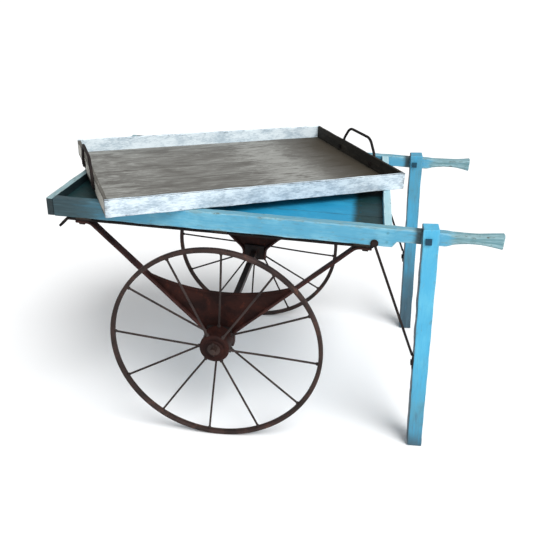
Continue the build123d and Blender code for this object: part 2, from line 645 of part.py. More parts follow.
def tray_nodes():
    """Loose tray with its planks, walls, handles and fasteners."""
    nodes = {}
    nails = tray_nails() + [to_right(n) for n in tray_nails()]
    holes = [bolt_hole(*pair, SMALL_BOLT_DIAMETER) for pair in tray_handle_bolts()]
    bolts = [square_bolt(*pair, SMALL_BOLT_DIAMETER, SMALL_BOLT_HEAD, SMALL_BOLT_HEAD_THICKNESS)
             for pair in tray_handle_bolts()]
    side = cut(tray_side(), nails)
    end = cut(tray_end(), nails + holes)
    turned = Rot(0, 0, 180)
    for number, plank in enumerate(tray_planks(), 1):
        nodes[f"tray_plank_{number}"] = on_box(plank)
    nodes["tray_near_wall"] = on_box(side)
    nodes["tray_far_wall"] = on_box(to_right(side))
    nodes["tray_rear_wall"] = on_box(end)
    nodes["tray_front_wall"] = on_box(turned * end)
    nodes["tray_rear_handle"] = on_box(tray_handle())
    nodes["tray_front_handle"] = on_box(turned * tray_handle())
    nodes["tray_handle_bolts"] = group([on_box(b) for b in bolts] + [on_box(turned * b) for b in bolts])
    nodes["tray_nails"] = group([on_box(n) for n in nails])
    return nodes


def moved(shape, offset):
    """Shape shifted by an offset; a group stays a group of separate solids."""
    solids = shape.solids()
    if len(solids) == 1:
        return Pos(*offset) * solids[0]
    return group([Pos(*offset) * solid for solid in solids])


nodes = {**deck_nodes(), **undercarriage_nodes(), **wheel_nodes(), **tray_nodes()}
boxes = [shape.bounding_box() for shape in nodes.values()]
low = [min(getattr(b.min, axis) for b in boxes) for axis in "XYZ"]
high = [max(getattr(b.max, axis) for b in boxes) for axis in "XYZ"]
origin = (-(low[0] + high[0]) / 2, -(low[1] + high[1]) / 2, -low[2])

os.makedirs("parts", exist_ok=True)
for name, shape in nodes.items():
    export_step(moved(shape, origin), f"parts/{name}.step")
print(len(nodes), "nodes; origin moved by", [round(v, 3) for v in origin])
print("overall size", [round(high[i] - low[i], 1) for i in range(3)])
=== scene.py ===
"""Looks of a two-wheeled wooden hand cart with a loose tray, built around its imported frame.

The frame gives every size and place. Each wooden and iron piece is a surface worked out with numpy
on a grid of stations along the piece and points round its section, and wears a node-built finish.
"""
from __future__ import annotations

import json
import logging
import math
from dataclasses import dataclass, field, replace
from enum import Enum
from functools import partialmethod
from typing import Callable, Optional, Sequence, Union

import bmesh
import bpy
import numpy as np
from mathutils import Matrix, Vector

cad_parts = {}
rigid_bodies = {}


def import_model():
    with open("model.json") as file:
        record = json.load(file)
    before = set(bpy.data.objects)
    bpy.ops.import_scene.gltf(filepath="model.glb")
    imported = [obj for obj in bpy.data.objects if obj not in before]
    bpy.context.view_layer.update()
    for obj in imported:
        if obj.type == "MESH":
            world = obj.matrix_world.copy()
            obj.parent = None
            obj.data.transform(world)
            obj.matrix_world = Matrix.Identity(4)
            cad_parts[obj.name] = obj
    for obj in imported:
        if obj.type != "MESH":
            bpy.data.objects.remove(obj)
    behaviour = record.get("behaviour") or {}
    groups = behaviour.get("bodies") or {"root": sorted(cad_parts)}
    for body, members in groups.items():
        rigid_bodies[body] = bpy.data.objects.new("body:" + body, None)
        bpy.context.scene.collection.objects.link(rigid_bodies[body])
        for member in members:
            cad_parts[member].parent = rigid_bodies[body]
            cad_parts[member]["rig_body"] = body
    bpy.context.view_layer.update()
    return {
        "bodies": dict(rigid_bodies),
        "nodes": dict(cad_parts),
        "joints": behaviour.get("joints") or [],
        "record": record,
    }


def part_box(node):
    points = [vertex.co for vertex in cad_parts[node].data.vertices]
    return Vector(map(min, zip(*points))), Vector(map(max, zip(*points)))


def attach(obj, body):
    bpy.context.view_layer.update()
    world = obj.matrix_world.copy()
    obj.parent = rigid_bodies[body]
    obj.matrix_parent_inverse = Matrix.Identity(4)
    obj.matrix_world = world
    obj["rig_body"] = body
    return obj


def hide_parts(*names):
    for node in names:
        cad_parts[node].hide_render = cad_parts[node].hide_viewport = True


LOG = logging.getLogger("hand_cart")
SLOPE = math.radians(4.0)           # deck, handles down, about the axle
TRAY_TURN = math.radians(29.8)      # tray on the deck, about the deck's own upright
SIDES = {"left": -1.0, "right": 1.0}

Array = np.ndarray
Number = Union[float, Array]
SIDEWAYS = np.array([0.0, 1.0, 0.0])


# ---- working frames -----------------------------------------------------------------------------

class Run(Enum):
    """Which way of a setting the grain of a piece runs."""

    ALONG = 0
    ACROSS = 1
    UP = 2


@dataclass(frozen=True)
class Setting:
    """A place to work from: an origin and three unit axes, right-handed, as rows."""

    origin: Array
    axes: Array

    def to_cart(self, points: Array) -> Array:
        """Points of this setting in the cart's frame: the origin plus the points times the axes."""
        return self.origin + points @ self.axes

    def extent(self, node: str) -> tuple[Array, Array]:
        """Lowest and highest corner of a frame node, in metres along this setting's axes.

        Args:
            node: name of the frame node.

        Returns:
            The two corners.
        """
        mesh = bpy.data.objects[node].data
        points = np.empty(len(mesh.vertices) * 3)
        mesh.vertices.foreach_get("co", points)
        local = (points.reshape(-1, 3) - self.origin) @ self.axes.T
        return local.min(0), local.max(0)

    def run(self, way: Run) -> "Setting":
        """The same setting with its axes cycled, so that the first one is the given way."""
        return Setting(self.origin, np.roll(self.axes, -way.value, axis=0))

    def turned(self, angle: float) -> "Setting":
        """The same setting turned about its own third axis."""
        c, s = math.cos(angle), math.sin(angle)
        return Setting(self.origin, np.array([[c, s, 0], [-s, c, 0], [0, 0, 1]]) @ self.axes)


def ground_setting() -> Setting:
    """Upright setting at the axle's middle."""
    low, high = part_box("axle")
    return Setting((np.array(low) + np.array(high)) / 2, np.eye(3))


def deck_setting() -> Setting:
    """Setting of the deck: the upright one turned handles-down about the axle."""
    c, s = math.cos(SLOPE), math.sin(SLOPE)
    return Setting(ground_setting().origin, np.array([[c, 0, -s], [0, 1, 0], [s, 0, c]]))


# ---- surfaces -----------------------------------------------------------------------------------

@dataclass
class Surface:
    """Points, faces and the values that the finishes read at each point."""

    points: Array
    faces: list
    grain: Array
    arris: Array
    wear: Array
    grime_and_shade: Array

    def shown(self, name: str) -> bpy.types.Object:
        """Put the surface into a new mesh object at the origin, faces pointing outwards.

        Args:
            name: name of the object.

        Returns:
            The linked object.
        """
        mesh = bpy.data.meshes.new(name)
        mesh.from_pydata(self.points.tolist(), [], self.faces)
        grain = mesh.attributes.new("grain", "FLOAT_VECTOR", "POINT")
        grain.data.foreach_set("vector", self.grain.astype(np.float32).ravel())
        for key in ("arris", "wear", "grime_and_shade"):
            values = mesh.attributes.new(key, "FLOAT", "POINT")
            values.data.foreach_set("value", getattr(self, key).astype(np.float32))
        shell = bmesh.new()
        shell.from_mesh(mesh)
        bmesh.ops.recalc_face_normals(shell, faces=shell.faces)
        shell.to_mesh(mesh)
        shell.free()
        mesh.polygons.foreach_set("use_smooth", np.ones(len(mesh.polygons), bool))
        return linked(name, mesh)


def linked(name: str, data: bpy.types.ID) -> bpy.types.Object:
    """New object that shows a mesh, light or camera.

    Args:
        name: name of the object.
        data: what it shows.

    Returns:
        The object, in the scene.
    """
    made = bpy.data.objects.new(name, data)
    bpy.context.scene.collection.objects.link(made)
    return made


def joined(surfaces: Sequence[Surface]) -> Surface:
    """Several surfaces as one, each face list shifted past the points before it.

    Args:
        surfaces: at least one.

    Returns:
        One surface.
    """
    starts = np.cumsum([0] + [len(s.points) for s in surfaces[:-1]])
    faces = [tuple(i + int(start) for i in face) for start, s in zip(starts, surfaces) for face in s.faces]
    stacked = {key: np.concatenate([getattr(s, key) for s in surfaces])
               for key in ("points", "grain", "arris", "wear", "grime_and_shade")}
    return Surface(faces=faces, **stacked)


def mirrored(surface: Surface, setting: Setting) -> Surface:
    """The twin of a left-hand surface: its second coordinate in the setting changes sign.

    Args:
        surface: a piece of the left side.
        setting: the one whose second axis runs across the cart.

    Returns:
        The right side's surface.
    """
    local = (surface.points - setting.origin) @ setting.axes.T
    return Surface(setting.to_cart(local * np.array([1, -1, 1])), surface.faces,
                   surface.grain + np.array([0.37, 0.21, 0.13]), surface.arris, surface.wear, surface.grime_and_shade)


@dataclass(frozen=True)
class Section:
    """Rounded rectangle walked once round, as four arrays.

    A point of it is (a (W - r) + r c, b (H - r) + r s), where W and H are the half sides and r the
    corner radius: on a corner a and b are fixed and (c, s) turns, on a face (c, s) is fixed.
    """

    corner_steps: int = 4
    face_steps: int = 7

    def walk(self) -> tuple[Array, Array, Array, Array]:
        """The arrays a, b, c and s.

        Returns:
            Four arrays of one length.
        """
        rows = []
        spread = np.cos(np.pi * np.arange(1, self.face_steps) / self.face_steps)
        for number, (a, b) in enumerate(((1, 1), (-1, 1), (-1, -1), (1, -1))):
            turn = np.linspace(0, np.pi / 2, self.corner_steps + 1, endpoint=bool(self.face_steps))
            turn = turn + number * np.pi / 2
            rows.append(np.stack([np.full_like(turn, a), np.full_like(turn, b), np.cos(turn), np.sin(turn)]))
            if not self.face_steps:
                continue
            end = turn[-1]
            level = number % 2 == 0
            flat_a = a * spread if level else np.full_like(spread, a)
            flat_b = np.full_like(spread, b) if level else b * spread
            rows.append(np.stack([flat_a, flat_b, np.full_like(spread, math.cos(end)),
                                  np.full_like(spread, math.sin(end))]))
        return tuple(np.concatenate(rows, axis=1))


FLAT = Section()
FINE = Section(4, 14)
ROUND = Section(3, 0)


def ripple(first: Array, second: Array, seed: int, waves: int = 9) -> Array:
    """Smooth irregular field, about -1 to 1: a sum of sines whose directions and phases are drawn once.

    Args:
        first: first coordinate.
        second: second coordinate.
        seed: of the draws.
        waves: number of sines.

    Returns:
        The field over both coordinates.
    """
    draw = np.random.default_rng(seed)
    total = np.zeros(np.broadcast(first, second).shape)
    for _ in range(waves):
        lean, phase, pace = draw.uniform(-1, 1), draw.uniform(0, 2 * np.pi), draw.uniform(0.6, 2.2)
        total = total + np.sin(2 * np.pi * pace * (first + lean * second) + phase)
    return total / math.sqrt(waves)


def stations(length: float, bevel: float, pitch: float,
             extra: Sequence[float] = ()) -> tuple[Array, Array, Array]:
    """Places along a piece with rounded ends.

    Args:
        length: length of the piece.
        bevel: radius of the rounding at its ends.
        pitch: spacing of the places between the ends.
        extra: places that the shape needs besides.

    Returns:
        Distance along the piece, inset of the section and share of it kept: 0 in the middle of each end.
    """
    turn = np.linspace(0, np.pi / 2, 4)
    first, last = 2 * bevel, length - 2 * bevel
    body = np.linspace(first, last, max(4, int(length / pitch)))
    body = np.unique(np.round(np.concatenate([body, [p for p in extra if first < p < last]]), 6))
    rise = bevel * (1 - np.cos(turn))
    inset = bevel * (1 - np.sin(turn))
    share = np.array([0.0, 0.35, 0.7])
    distance = np.concatenate([np.zeros(3), rise, body, (length - rise)[::-1], np.full(3, length)])
    insets = np.concatenate([np.full(3, bevel), inset, np.zeros(len(body)), inset[::-1], np.full(3, bevel)])
    shares = np.concatenate([share, np.ones(len(turn) * 2 + len(body)), share[::-1]])
    return distance, insets, shares


@dataclass(frozen=True)
class Age:
    """How far time has moved a piece from its drawn shape, in metres."""

    wave: float = 0.0005      # slow unevenness of the faces
    chip: float = 0.0014      # depth of the bites out of the edges
    seat: float = 0.0003      # how far the faces lie inside the drawn ones
    seed: int = 1


Tone = Callable[[Array, Array], tuple[Array, Array]]


def clean(distance: Array, around: Array) -> tuple[Array, Array]:
    """Tone of a piece with nothing special: no added wear and no grime."""
    return 0 * distance, 0 * around


def swept(path: Array, side: Array, half_side: Number, half_rise: Number, radius: Number, inset: Array,
          share: Array, section: Section = FLAT, age: Optional[Age] = None, tone: Tone = clean,
          setting: Optional[Setting] = None) -> Surface:
    """Carry a rounded rectangle along a path: each point is path + side x + rise y, (x, y) on the section.

    Args:
        path: centre of the section at each station, shape (stations, 3).
        side: direction of the section's width; its rise is the path's direction crossed with it.
        half_side: half the width, one value or one per station, like the next two.
        half_rise: half the height.
        radius: corner radius.
        inset: how far the section is drawn in at each station.
        share: share of the section kept at each station, 0 at a closed end's pole.
        section: how finely the section is walked.
        age: unevenness of the faces, if any.
        tone: gives wear, and the grime-and-shade value (dirt, and painted shade on some pieces), from the
            distance along the piece and the angle round it.
        setting: where the path is drawn, if not in the cart's frame.

    Returns:
        The closed surface.
    """
    a, b, c, s = section.walk()
    travel = np.gradient(path, axis=0)
    still = np.linalg.norm(travel, axis=1) < 1e-9
    moving = np.flatnonzero(~still)
    travel = travel[moving[np.argmin(np.abs(np.arange(len(path))[:, None] - moving[None, :]), axis=1)]]
    travel = travel / np.linalg.norm(travel, axis=1, keepdims=True)
    side = np.broadcast_to(side, path.shape)
    rise = np.cross(travel, side)
    distance = travelled(path)
    width, height = (np.reshape(v - inset, (-1, 1)) for v in (half_side, half_rise))
    corner = np.broadcast_to(radius, distance.shape)[:, None]
    corner = np.minimum(corner, np.minimum(width, height))
    x = a * (width - corner) + corner * c
    y = b * (height - corner) + corner * s
    edge = np.minimum((1 - np.abs(a)) * (width - corner) + 0 * y, 1.0)
    edge = np.maximum(edge, (1 - np.abs(b)) * (height - corner))
    arris = np.exp(-edge / 0.005)
    end = np.minimum(distance, distance[-1] - distance)[:, None]
    arris = np.maximum(arris, np.exp(-end / 0.005) * (share[:, None] > 0.99))
    if age is not None:
        around = np.arctan2(s, c)[None, :]
        slow = age.wave * ripple(distance[:, None] * 5, around * 0.35, age.seed)
        bite = np.clip(ripple(distance[:, None] * 26, around * 1.3, age.seed + 1) - 0.75, 0, 1)
        push = (slow - bite * age.chip * arris - age.seat) * (share[:, None] > 0.99)
        x, y = x + push * c, y + push * s
    x, y = x * share[:, None], y * share[:, None]
    points = path[:, None, :] + side[:, None, :] * x[..., None] + rise[:, None, :] * y[..., None]
    if setting is not None:
        points = setting.to_cart(points)
    seed = age.seed if age is not None else 1
    grain = np.stack([distance[:, None] + 0 * x, x, y], axis=-1) + seed * np.array([0.731, 0.417, 0.293])
    caps = (inset > inset.max() - 1e-9)[:, None] & (inset.max() > 0)
    tones = (value + 0 * x for value in tone(distance[:, None], np.arctan2(s, c)[None, :]))
    wear, grime_and_shade = (np.where(caps, np.median(v, axis=1, keepdims=True), v) for v in tones)
    return closed_grid(points, grain, arris, wear, grime_and_shade)


def closed_grid(points: Array, grain: Array, arris: Array, wear: Array, grime_and_shade: Array) -> Surface:
    """Join a grid into a closed surface: rings wrap round, and the first and last rings are poles.

    Args:
        points: shape (rings, around, 3); the first and the last ring have shrunk to one place.
        grain: coordinates for the finishes, same shape.
        arris: nearness to an edge, shape (rings, around).
        wear: added wear, same shape.
        grime_and_shade: dirt and painted shade, same shape.

    Returns:
        The surface, each pole a single point.
    """
    rings, around = points.shape[:2]
    inner = np.arange((rings - 2) * around).reshape(rings - 2, around) + 1
    here, ahead = inner, np.roll(inner, -1, axis=1)
    quads = np.stack([here[:-1], ahead[:-1], ahead[1:], here[1:]], axis=-1).reshape(-1, 4)
    last = (rings - 2) * around + 1
    start = np.stack([np.zeros(around, int), ahead[0], here[0]], axis=-1)
    stop = np.stack([np.full(around, last), here[-1], ahead[-1]], axis=-1)
    faces = [tuple(q) for q in quads.tolist()] + [tuple(t) for t in start.tolist() + stop.tolist()]

    def flat(values: Array) -> Array:
        """Values of the poles and of the rings between them, in the points' order."""
        body = values[1:-1].reshape(-1, *values.shape[2:])
        return np.concatenate([values[:1, 0], body, values[-1:, 0]])

    return Surface(flat(points), faces, flat(grain), flat(arris), flat(wear), flat(grime_and_shade))


def board(setting: Setting, low: Array, high: Array, rounding: float, age: Age, tone: Tone = clean,
          section: Section = FLAT, pitch: float = 0.012) -> Surface:
    """Straight board with its grain along the setting's first axis.

    Args:
        setting: where it is drawn.
        low: its lowest corner in the setting.
        high: its highest corner.
        rounding: radius of its worn edges.
        age: unevenness of its faces.
        tone: wear, and dirt and painted shade, over it.
        section: how finely its section is walked.
        pitch: spacing of its stations.

    Returns:
        The board's surface.
    """
    half, middle = (high - low) / 2, (low + high) / 2
    distance, inset, share = stations(high[0] - low[0], rounding, pitch)
    path = np.stack([low[0] + distance, 0 * distance + middle[1], 0 * distance + middle[2]], 1)
    return swept(path, SIDEWAYS, half[1], half[2], rounding, inset, share, section, age, tone, setting)


def travelled(path: Array) -> Array:
    """Distance along a path at each of its points."""
    return np.concatenate([[0], np.cumsum(np.linalg.norm(np.diff(path, axis=0), axis=1))])


def rounded_path(corners: Sequence[Sequence[float]], radii: Sequence[float], pitch: float = 0.012) -> Array:
    """Straight runs joined by tangent arcs.

    Args:
        corners: the points that the runs aim at, first and last included.
        radii: radius of the arc at each corner between them.
        pitch: spacing of points on the runs; an arc has one every nine degrees or so.

    Returns:
        Points along the path.
    """
    corners = np.asarray(corners, float)
    stops = [corners[:1]]
    for before, here, after, radius in zip(corners[:-2], corners[1:-1], corners[2:], radii):
        first, second = here - before, after - here
        first, second = first / np.linalg.norm(first), second / np.linalg.norm(second)
        bend = math.acos(float(np.clip(first @ second, -1, 1)))
        reach = radius * math.tan(bend / 2)
        inward = second - first
        inward = inward / np.linalg.norm(inward)
        centre = here + inward * radius / math.cos(bend / 2)
        sweep = np.linspace(-bend / 2, bend / 2, max(4, int(math.degrees(bend) / 9) + 2))
        along = (first + second) / np.linalg.norm(first + second)
        arc = centre + radius * (np.sin(sweep)[:, None] * along - np.cos(sweep)[:, None] * inward)
        stops.append(np.concatenate([[here - first * reach], arc, [here + second * reach]]))
    stops.append(corners[-1:])
    rough = np.concatenate(stops)
    keep = np.concatenate([[True], np.linalg.norm(np.diff(rough, axis=0), axis=1) > 1e-6])
    rough = rough[keep]
    runs = [np.linspace(p, q, max(2, int(np.linalg.norm(q - p) / pitch) + 1))[:-1]
            for p, q in zip(rough[:-1], rough[1:])]
    return np.concatenate(runs + [rough[-1:]])


def along_path(line: Array, bevel: float) -> tuple[Array, Array, Array]:
    """Path, inset and share arrays for swept(), of a line whose ends are rounded by the bevel.

    Args:
        line: points of the line.
        bevel: radius of the rounding.

    Returns:
        The three arrays.
    """
    distance = travelled(line)
    place, inset, share = stations(distance[-1], bevel, distance[-1], distance[1:-1])
    path = np.stack([np.interp(place, distance, line[:, k]) for k in range(3)], axis=1)
    return path, inset, share


def flat_iron(setting: Setting, corners: Sequence[Sequence[float]], radii: Sequence[float], width: float,
              thickness: float, seed: int, edge: float = 0.0018) -> Surface:
    """Flat iron bar bent along a path in the setting.

    Args:
        setting: where it is drawn.
        corners: points that its runs aim at.
        radii: radius of each bend.
        width: width across the setting.
        thickness: thickness in the plane of the bends.
        seed: for the unevenness of its faces.
        edge: radius of its edges.

    Returns:
        The bar's surface.
    """
    path, inset, share = along_path(rounded_path(corners, radii), edge)
    return swept(path, SIDEWAYS, width / 2, thickness / 2, edge, inset, share, FLAT,
                 Age(0.0002, 0.0004, 0.0, seed), setting=setting)


def round_bar(line: Array, radius: float, side: Array, seed: int = 3, bevel: float = 0.001) -> Surface:
    """Round rod.

    Args:
        line: points of its path in the cart's frame.
        radius: its radius.
        side: any direction that the path never follows.
        seed: for the grain coordinates.
        bevel: rounding of the ends.

    Returns:
        The rod's surface.
    """
    path, inset, share = along_path(line, bevel)
    travel = line[-1] - line[0]
    across = np.cross(np.cross(travel, side), travel)
    across = across / np.linalg.norm(across)
    return swept(path, across, radius, radius, radius, inset, share, ROUND, Age(0, 0, 0, seed))


def spun(profile: Array, centre: Array, steps: int, seed: int = 5, lump: float = 0.0) -> Surface:
    """Turn a closed outline about the wheel's axis: centre + radius (cos t, 0, sin t) + distance (0, 1, 0).

    Args:
        profile: points (radius, distance along the axis), walked once round.
        centre: middle of the turned piece in the cart's frame.
        steps: number of copies round the axis.
        seed: for the unevenness.
        lump: size of the slow unevenness of its radius.

    Returns:
        A ring-shaped surface.
    """
    turn = np.linspace(0, 2 * np.pi, steps, endpoint=False)[:, None]
    radius = profile[None, :, 0] + lump * ripple(turn / np.pi, profile[None, :, 1] * 9, seed)
    depth = profile[None, :, 1] + 0 * turn
    points = centre + np.stack([radius * np.cos(turn), depth, radius * np.sin(turn)], -1)
    count = len(profile)
    index = np.arange(steps * count).reshape(steps, count)
    ahead, right = np.roll(index, -1, axis=0), np.roll(index, -1, axis=1)
    both = np.roll(ahead, -1, axis=1)
    faces = [tuple(q) for q in np.stack([index, right, both, ahead], -1).reshape(-1, 4).tolist()]
    nothing = np.zeros(steps * count)
    grain = np.stack([turn * radius, radius, depth], -1).reshape(-1, 3)
    return Surface(points.reshape(-1, 3), faces, grain, nothing, nothing, nothing)


# ---- shader maths -------------------------------------------------------------------------------

Colour = tuple[float, float, float]


def srgb(red: int, green: int, blue: int) -> Colour:
    """Linear colour of an sRGB one given in 0 to 255.

    Args:
        red: red part.
        green: green part.
        blue: blue part.

    Returns:
        The linear colour.
    """
    def linear(value: float) -> float:
        """One part of it, from 0 to 1."""
        return value / 12.92 if value <= 0.04045 else ((value + 0.055) / 1.055) ** 2.4
    return linear(red / 255), linear(green / 255), linear(blue / 255)


class Link:
    """An output socket; arithmetic on it adds Math nodes."""

    def __init__(self, shader: "Shader", socket: bpy.types.NodeSocket) -> None:
        """Keep the shader and the socket."""
        self.shader = shader
        self.socket = socket

    def _math(self, operation: str, other: Union["Link", float]) -> "Link":
        """One Math node over this value and another."""
        return self.shader.node("ShaderNodeMath", {"operation": operation}, {0: self, 1: other})

    def __rsub__(self, other: float) -> "Link":
        """Difference from a number."""
        return self.shader.node("ShaderNodeMath", {"operation": "SUBTRACT"}, {0: other, 1: self})

    __add__ = __radd__ = partialmethod(_math, "ADD")
    __sub__ = partialmethod(_math, "SUBTRACT")
    __mul__ = __rmul__ = partialmethod(_math, "MULTIPLY")

    def step(self, low: float, high: float) -> "Link":
        """Smooth step: 0 below low, 1 above high."""
        return self.shader.node("ShaderNodeMapRange", {"interpolation_type": "SMOOTHSTEP"},
                                {"Value": self, "From Min": low, "From Max": high})


class Shader:
    """A material's node tree, written as expressions."""

    def __init__(self, name: str) -> None:
        """Start an empty material.

        Args:
            name: name of the material.
        """
        self.material = bpy.data.materials.new(name)
        self.material.use_nodes = True
        self.tree = self.material.node_tree
        self.tree.nodes.clear()

    def node(self, kind: str, settings: dict, inputs: dict, output: Union[int, str] = 0) -> Link:
        """Add a node.

        Args:
            kind: the node's type.
            settings: its own settings, set first.
            inputs: socket name or number to a Link or a value.
            output: which output to return.

        Returns:
            The output as a Link.
        """
        made = self.tree.nodes.new(kind)
        for key, value in settings.items():
            setattr(made, key, value)
        for key, value in inputs.items():
            if isinstance(value, Link):
                self.tree.links.new(value.socket, made.inputs[key])
            else:
                made.inputs[key].default_value = value
        return Link(self, made.outputs[output])

    def attribute(self, name: str, output: str = "Fac") -> Link:
        """A value that the surface carries."""
        return self.node("ShaderNodeAttribute", {"attribute_name": name}, {}, output)

    def place(self) -> Link:
        """Object coordinates."""
        return self.node("ShaderNodeTexCoord", {}, {}, "Object")

    def grain(self, scale: Sequence[float]) -> Link:
        """The piece's own coordinates along, across and through its grain, stretched."""
        here = self.attribute("grain", "Vector")
        return self.node("ShaderNodeMapping", {}, {"Vector": here, "Scale": scale})

    def noise(self, where: Link, scale: float, detail: float = 4.0, rough: float = 0.55,
              bend: float = 0.0) -> Link:
        """Noise, 0 to 1, about a half."""
        return self.node("ShaderNodeTexNoise", {}, {"Vector": where, "Scale": scale, "Detail": detail,
                                                    "Roughness": rough, "Distortion": bend})

    def mix(self, share: Union[Link, float], first: Union[Link, Colour], second: Union[Link, Colour]) -> Link:
        """Colour between two, by share.

        Args:
            share: 0 for the first, 1 for the second.
            first: a colour.
            second: a colour.

        Returns:
            The mixed colour.
        """
        inputs = {0: share, 6: first if isinstance(first, Link) else (*first, 1.0),
                  7: second if isinstance(second, Link) else (*second, 1.0)}
        return self.node("ShaderNodeMix", {"data_type": "RGBA"}, inputs, 2)

    def finished(self, colour: Link, roughness: Link, height: Link, depth: float, metallic: float = 0.0,
                 specular: float = 0.5) -> bpy.types.Material:
        """Close the tree with a shader and an output.

        Args:
            colour: base colour.
            roughness: roughness.
            height: relief for the bump, 0 to 1.
            depth: what a relief of 1 measures, in metres.
            metallic: how far the surface is bare metal.
            specular: specular level.

        Returns:
            The material.
        """
        bump = self.node("ShaderNodeBump", {}, {"Height": height, "Strength": 1.0, "Distance": depth})
        surface = self.node("ShaderNodeBsdfPrincipled", {}, {
            "Base Color": colour, "Roughness": roughness, "Normal": bump, "Metallic": metallic,
            "Specular IOR Level": specular})
        output = self.tree.nodes.new("ShaderNodeOutputMaterial")
        self.tree.links.new(surface.socket, output.inputs["Surface"])
        return self.material


# ---- finishes -----------------------------------------------------------------------------------

@dataclass(frozen=True)
class WornPaint:
    """Brushed paint on old timber: faded in clouds, streaked along the grain, rubbed off the edges, with a
    pale edge colour that is partly worn paint and partly painted highlight.
    """

    name: str
    body: Colour
    faded: Colour
    deep: Colour
    under: Colour                # thin paint
    timber: Colour               # where the paint is gone
    soot_and_shade: Colour                 # dirt, and painted shade
    edge: Colour                 # paint rubbed pale along the edges, partly a painted highlight
    rubbed: float = 0.0          # added wear all over
    fade: float = 0.5            # share of the faded colour
    pale_edge_highlight: float = 0.5      # how far the edges go to their own colour, worn paint and painted highlight

    def build(self) -> bpy.types.Material:
        """Make the material.

        Returns:
            The finished material.
        """
        s = Shader(self.name)
        clouds = s.noise(s.grain((1, 1.6, 1.6)), 9.0, 5.0, 0.6)
        streaks = s.noise(s.grain((1, 14, 14)), 11.0, 6.0, 0.62, 0.2)
        fine = s.noise(s.grain((3, 60, 60)), 12.0, 4.0, 0.7)
        flakes = s.noise(s.grain((1, 2.6, 2.6)), 46.0, 7.0, 0.66, 0.4)
        arris, wear, grime_and_shade = (s.attribute(k) for k in ("arris", "wear", "grime_and_shade"))
        fade = (clouds * 0.6 + streaks * 0.5).step(0.62 - 0.3 * self.fade, 0.86 - 0.3 * self.fade)
        colour = s.mix(fade, self.body, self.faded)
        colour = s.mix((streaks * 0.7 + fine * 0.4).step(0.56, 0.72) * 0.55, colour, self.deep)
        gone = flakes + arris * 0.13 + wear * 0.10 + (streaks - 0.5) * 0.25
        thin = gone.step(0.58 - self.rubbed, 0.70 - self.rubbed)
        bare = gone.step(0.76 - self.rubbed, 0.82 - self.rubbed)
        colour = s.mix(thin * 0.6, colour, self.under)
        pale = tuple((u + e) / 2 for u, e in zip(self.under, self.edge))
        weathered = s.mix((streaks * 0.8 + fine * 0.3).step(0.52, 0.70), self.under, pale)
        worn = (wear + (streaks - 0.5) * 0.9 + (clouds - 0.5) * 0.5).step(0.15, 0.6) * 0.85
        colour = s.mix(worn, colour, weathered)
        # pale edges: partly worn paint, partly a painted highlight along the arrises
        edge_highlight_and_rub = (arris * 0.8 + (streaks - 0.5) * 1.2).step(0.35, 0.8) * self.pale_edge_highlight
        colour = s.mix(edge_highlight_and_rub, colour, self.edge)
        wood = s.mix(fine.step(0.35, 0.65), self.timber, tuple(0.6 * c for c in self.timber))
        colour = s.mix(bare, colour, wood)
        # the grime-and-shade value darkens the paint: dirt, and painted shade on some pieces
        dirt_and_shade = (grime_and_shade * 1.15 + (streaks * 0.6 + clouds * 0.6 - 0.6) * grime_and_shade.step(0.02, 0.3)).step(0.05, 0.95)
        soot_and_shade = s.mix(streaks.step(0.4, 0.65), self.soot_and_shade, tuple(1.5 * c for c in self.soot_and_shade))
        colour = s.mix(dirt_and_shade, colour, soot_and_shade)
        rough = 0.55 + bare * 0.25 + (fine - 0.5) * 0.25
        relief = streaks * 0.35 + fine * 0.25 + (1 - bare) * 0.4
        return s.finished(colour, rough, relief, 0.0006, specular=0.35)


@dataclass(frozen=True)
class Whitewash:
    """Thin pale wash over grey timber, scratched and patchy."""

    name: str
    wash: Colour
    patch: Colour
    timber: Colour
    soot_and_shade: Colour
    edge_wear: float = 0.10      # added wear at the edges

    def build(self) -> bpy.types.Material:
        """Make the material.

        Returns:
            The finished material.
        """
        s = Shader(self.name)
        clouds = s.noise(s.grain((1, 2, 2)), 16.0, 5.0, 0.6)
        scratch = s.noise(s.grain((2, 9, 9)), 34.0, 6.0, 0.68, 0.5)
        fine = s.noise(s.grain((5, 50, 50)), 14.0, 4.0, 0.7)
        arris, wear, grime_and_shade = (s.attribute(k) for k in ("arris", "wear", "grime_and_shade"))
        colour = s.mix((clouds * 0.55 + scratch * 0.5).step(0.44, 0.64) * 0.9, self.wash, self.patch)
        bare = (scratch + arris * self.edge_wear + wear * 0.3 + (clouds - 0.5) * 0.3).step(0.62, 0.76)
        colour = s.mix(bare * 0.8, colour, self.timber)
        # the grime-and-shade value darkens the wash: painted shade in the tray's corners and along some edges
        dirt_and_shade = (grime_and_shade * 1.2 + (scratch - 0.5) * 0.7 * grime_and_shade.step(0.02, 0.3)).step(0.25, 0.9)
        colour = s.mix(dirt_and_shade, colour, s.mix(fine.step(0.4, 0.7), self.soot_and_shade, tuple(2.6 * c for c in self.soot_and_shade)))
        rough = 0.72 + (fine - 0.5) * 0.2
        relief = scratch * 0.5 + fine * 0.3 + (1 - bare) * 0.2
        return s.finished(colour, rough, relief, 0.0007, specular=0.3)


